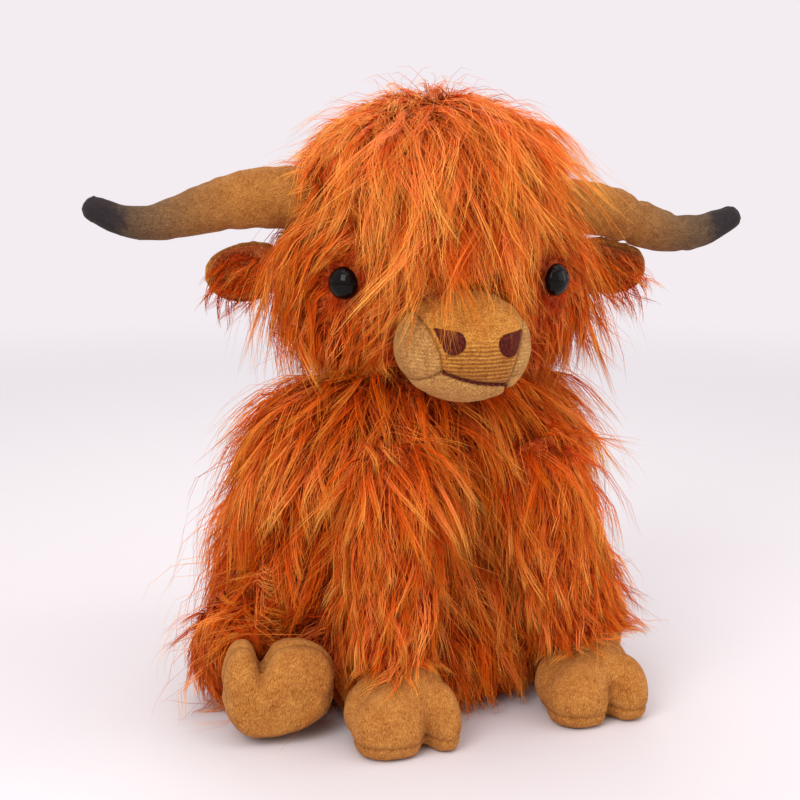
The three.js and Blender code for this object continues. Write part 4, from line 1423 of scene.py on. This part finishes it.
class PLUSH_OT_head_fur(bpy.types.Operator):
    """Fur on the face, the cheeks and the nape."""

    bl_idname = "plush.head_fur"
    bl_label = "Head fur"

    def execute(self, context):
        short, long = settings("fur_sizes").face_length, settings("fur_sizes").body_length
        eyes = [np.array(eye_place(name)[0]) for name in SIDES]
        ears = [f"ear_{layer}_{name}" for layer in ("back", "front") for name in SIDES]
        ear_roots = []
        for name, side in SIDES.items():
            spots = points_of(MADE[f"ear_back_{name}"])
            ear_roots.append((side, spots[np.argmin(straightened(spots)[:, 0] * side)]))

        def comb(roots, normals):
            across, back, _ = straightened(roots).T
            front = ease(0.0, -0.035, back)
            way = np.stack([np.tanh(across / 0.02) * 0.7 * front, 0.3 * front, -0.75 - 0.25 * (1 - front)], 1)
            way = turned_way(way)
            for side, place in ear_roots:
                near = 1 - ease(0.018, 0.038, apart(roots, place)[:, None])
                way += head_way(side, -0.35, -0.2) * 2.2 * near
            for centre in eyes:
                near = 1 - ease(0.008, 0.02, apart(roots, centre)[:, None])
                way += unit(roots - centre) * 1.3 * near
            return way + drift(roots, 0.018, 12) * 0.4

        def length(roots, normals):
            across, back, _ = straightened(roots).T
            side = ease(0.035, 0.06, np.abs(across)) * 0.75
            size = short + (long - short) * np.maximum(ease(-0.045, 0.02, back), side)
            for _, place in ear_roots:
                size *= 1 + 0.35 * (1 - ease(0.018, 0.034, apart(roots, place)))
            for centre in eyes:
                size *= 0.42 + 0.58 * ease(0.01, 0.028, apart(roots, centre))
            return size

        def density(places, ways):
            """Thin under the crown's hair, and none behind the muzzle."""
            across, back, up = straightened(places).T
            behind = (np.abs(across) < 0.024) & (back < -0.03) & (np.abs(up - MUZZLE_MIDDLE) < 0.019)
            under_hair = 1 - 0.8 * ease(0.243, 0.256, up)
            nape = 1 - 0.45 * ease(-0.005, 0.02, back)
            return under_hair * np.where(behind, 0.0, 1.0) * np.where(ways[:, 2] < -0.75, 0.3, 1.0) * nape

        def volume(roots):
            """The right cheek stands out further than the solid."""
            across = straightened(roots)[:, 0]
            size = ease(-0.03, -0.055, across) * 12 * MM + ease(0.045, 0.065, across) * 2 * MM
            clear = np.prod([ease(0.012, 0.03, apart(roots, centre)) for centre in eyes], axis=0)
            return size * clear * (1 - ease(0.235, 0.25, roots[:, 2]))

        def tint(roots):
            """Painted shade: darker fur in the sockets of the eyes."""
            return sum(-0.34 * (1 - ease(0.007, 0.017, apart(roots, centre))) for centre in eyes)

        def broad(roots):
            return 0.3 * ease(-0.005, 0.02, straightened(roots)[:, 1])

        def split(roots):
            across, back, _ = straightened(roots).T
            return np.where(back > -0.005, 2, np.where(across < 0, 0, 1))

        solids = Solids("head_backing", "muzzle", "horn_right", "horn_left", "torso_backing", *ears)
        coat(["face_fur_right", "face_fur_left", "nape_fur"], "head_backing", "head", FACE_STYLE, solids, 2,
             comb, length, density, split, volume, tint, broad, eye_rooms(0))
        return {"FINISHED"}


def eye_rooms(more):
    """Balls in front of the eyes and along the face's own way ahead, where the hair is brushed aside."""
    rooms = []
    ahead = Vector(head_way(-0.22, -0.96, 0.13))
    for name in SIDES:
        centre, way = eye_place(name)
        between = (way + ahead).normalized()
        rooms.append((np.array(centre + way * 5 * MM), 9.6 * MM + more))
        rooms.append((np.array(centre + between * 13 * MM), 9 * MM + more))
        rooms += [(np.array(centre + ahead * reach * MM), 7.8 * MM + more) for reach in (13, 21, 29, 37, 45)]
    return rooms


def horn_rooms():
    """Balls round the horns, from where they leave the hair, that no hair crosses."""
    rooms = []
    for name, side in SIDES.items():
        spots = points_of(MADE[f"horn_{name}"])
        out = straightened(spots)[:, 0] * side
        rooms += [(spots[np.abs(out - place) < 3 * MM].mean(0), 17 * MM) for place in (0.076, 0.09, 0.106)]
    return rooms


class PLUSH_OT_crown_hair(bpy.types.Operator):
    """The mop of hair on the crown and the fringe over the brow."""

    bl_idname = "plush.crown_hair"
    bl_label = "Crown hair"

    def execute(self, context):
        long = settings("fur_sizes").crown_length
        solids = Solids("crown_backing", "head_backing", "muzzle", "horn_right", "horn_left")
        crown, whorl = np.array([-0.002, 0.01]), np.array([-0.002, 0.04])

        def comb(roots, normals):
            local = straightened(roots)
            away = local[:, :2] - whorl
            flat = unit(away)
            down = -0.35 - 0.5 * ease(0.02, 0.055, np.linalg.norm(away, axis=1))
            down -= 1.3 * ease(0.01, 0.035, local[:, 0])
            way = np.stack([flat[:, 0] + np.tanh(local[:, 0] / 0.03) * 0.5, flat[:, 1], down], 1)
            return turned_way(way) + drift(roots, 0.016, 13) * 0.6

        def length(roots, normals):
            across, back, _ = straightened(roots).T
            middle = 1 - ease(0.02, 0.045, np.abs(across))
            front = ease(0.01, -0.03, back) * middle
            size = 0.62 + 0.55 * front + 0.12 * middle - ease(0.01, 0.04, across) * 0.3
            return long * size * (1 + 0.16 * drift(roots, 0.02, 4)[:, 0])

        def density(places, ways):
            return ease(0.232, 0.246, places[:, 2]) * (1 + 0.7 * ease(0.268, 0.284, places[:, 2]))

        def volume(roots):
            """Fullest at the top, flat over the brow."""
            local = straightened(roots)
            across, back, _ = local.T
            top = bell(np.linalg.norm(local[:, :2] - crown, axis=1), 0.02)
            flat = 4 * ease(-0.02, -0.045, back) + 5 * ease(0.03, 0.05, np.abs(across))
            flat += 5 * ease(0.008, 0.045, across)
            return np.maximum(2 * ease(0.262, 0.285, roots[:, 2]) + 2 * top - flat, -8) * MM

        def split(roots):
            return np.where(straightened(roots)[:, 1] < -0.002, 0, 1)

        coat(["crown_hair_front", "crown_hair_back"], "crown_backing", "head", CROWN_STYLE, solids, 3,
             comb, length, density, split, volume, cleared=horn_rooms() + eye_rooms(1 * MM))
        return {"FINISHED"}


class PLUSH_OT_leg_fur(bpy.types.Operator):
    """Fur on the legs."""

    bl_idname = "plush.leg_fur"
    bl_label = "Leg fur"

    def execute(self, context):
        for number, (end, name, _, _, longer) in enumerate(LEGS):
            self.leg(end, name, longer, 4 + number)
        return {"FINISHED"}

    def leg(self, end, name, longer, seed):
        size = settings("fur_sizes").leg_length
        skin = f"{end}_leg_{name}_backing"
        low = points_of(MADE[skin])[:, 2].min()
        sideways = np.array([0.0, -0.7, -0.6] if name == "right" else [0.15, -1.3, -0.3])

        def comb(roots, normals):
            over = np.array([[0, -1.1, 0]]) * ease(0.2, 0.7, normals[:, 2:3])
            if end == "front":
                return body_flow(roots, normals) + over
            return sideways + over + drift(roots, 0.02, 14) * 0.35

        def length(roots, normals):
            up = roots[:, 2]
            high = 0.3 * ease(low + 0.05, low + 0.09, up) + 0.3 * ease(0.2, 0.7, normals[:, 2])
            return size * (0.7 + 0.3 * ease(low, low + 0.05, up) + high) * longer

        def outer(places):
            return ease(0.045, 0.06, places[:, 0]) * (1 - ease(0.085, 0.1, places[:, 2]))

        def density(places, ways):
            return 1 + 0.6 * np.maximum(ease(0.2, 0.7, ways[:, 2]), outer(places))

        def volume(roots):
            return (4 * ease(0.1, 0.125, roots[:, 2]) + 12 * outer(roots)) * MM * (end == "front")

        solids = Solids(skin, "torso_backing", f"{end}_hoof_{name}")
        # The hind legs' fur is painted darker by tint: painted shade under the body.
        coat([f"{end}_leg_{name}_fur"], skin, f"{end}_{name}", LEG_STYLE, solids, seed, comb, length, density,
             volume=volume, tint=same(-0.14 * (end == "hind")))


class PLUSH_OT_ear_and_tail_fur(bpy.types.Operator):
    """Hair in the ears and under them, and on the tail."""

    bl_idname = "plush.ear_and_tail_fur"
    bl_label = "Ear and tail fur"

    def execute(self, context):
        self.ear("right", 20)
        self.ear("left", 22)
        size = settings("fur_sizes").leg_length
        for name, share, seed in (("tail", 0.5, 30), ("tuft", 0.85, 31)):
            coat([f"{name}_hair"], f"{name}_core", "tail_body", TAIL_STYLE, Solids(f"{name}_core"), seed,
                 lambda roots, normals: np.array([0, 0.05, -1.0]) + drift(roots, 0.01, 16) * 0.3,
                 same(size * share), same(1.0))
        return {"FINISHED"}

    def ear(self, name, seed):
        """Rust hair over the lining, and thin dark hair that hangs from the lower rim."""
        skin, side = f"ear_front_{name}", SIDES[name]
        middle, half = middle_and_half(straightened(points_of(MADE[skin])))

        def inside(places, ways):
            rim = from_middle(straightened(places), middle, half)
            return (ways @ head_way(0, -1, 0) > 0.2) * (1 - ease(0.72, 0.86, rim))

        def below(places, ways):
            rim = from_middle(straightened(places), middle, half)
            return (rim > 0.82) * ease(0.1, -0.25, (places[:, 2] - middle[2]) / half[2])

        def outward(roots, normals):
            return head_way(side * 0.9, -0.1, -0.55) + drift(roots, 0.01, 15) * 0.5

        def downward(roots, normals):
            return head_way(side * 0.35, -0.1, -1.0) + drift(roots, 0.01, 17) * 0.4

        solids = Solids(f"ear_back_{name}", skin)
        coat([f"ear_fur_{name}"], skin, f"ear_{name}", EAR_STYLE, solids, seed, outward,
             same(19 * MM), inside, tint=same(-0.14))
        coat([f"ear_fringe_{name}"], skin, f"ear_{name}", EAR_FRINGE_STYLE, solids, seed + 1, downward,
             same(21 * MM), below, tint=same(-0.3))


class PLUSH_PT_panel(bpy.types.Panel):
    """Lists the steps in the 3D view's sidebar."""

    bl_idname = "PLUSH_PT_panel"
    bl_label = "Plush cow"
    bl_space_type = "VIEW_3D"
    bl_region_type = "UI"
    bl_category = "Plush"

    def draw(self, context):
        for step in STEPS:
            self.layout.operator(step.bl_idname)
        for name in GROUP_CLASSES:
            group = getattr(context.scene, name)
            for label in group.__annotations__:
                self.layout.prop(group, label)


STEPS = (
    PLUSH_OT_stage,
    PLUSH_OT_backings,
    PLUSH_OT_muzzle,
    PLUSH_OT_eyes,
    PLUSH_OT_horns,
    PLUSH_OT_hooves,
    PLUSH_OT_ears,
    PLUSH_OT_inner_pieces,
    PLUSH_OT_body_fur,
    PLUSH_OT_head_fur,
    PLUSH_OT_crown_hair,
    PLUSH_OT_leg_fur,
    PLUSH_OT_ear_and_tail_fur,
)
GROUP_CLASSES = {"fur_sizes": FurSizes, "plush_colours": PlushColours, "stage_sizes": StageSizes}


def register():
    for kind in (*GROUP_CLASSES.values(), *STEPS, PLUSH_PT_panel):
        bpy.utils.register_class(kind)
    for name, kind in GROUP_CLASSES.items():
        setattr(bpy.types.Scene, name, PointerProperty(type=kind))


def unregister():
    for name in GROUP_CLASSES:
        delattr(bpy.types.Scene, name)
    for kind in reversed((*GROUP_CLASSES.values(), *STEPS, PLUSH_PT_panel)):
        bpy.utils.unregister_class(kind)


def main():
    register()
    for step in STEPS:
        group, name = step.bl_idname.split(".")
        getattr(getattr(bpy.ops, group), name)()


if __name__ == "__main__":
    main()
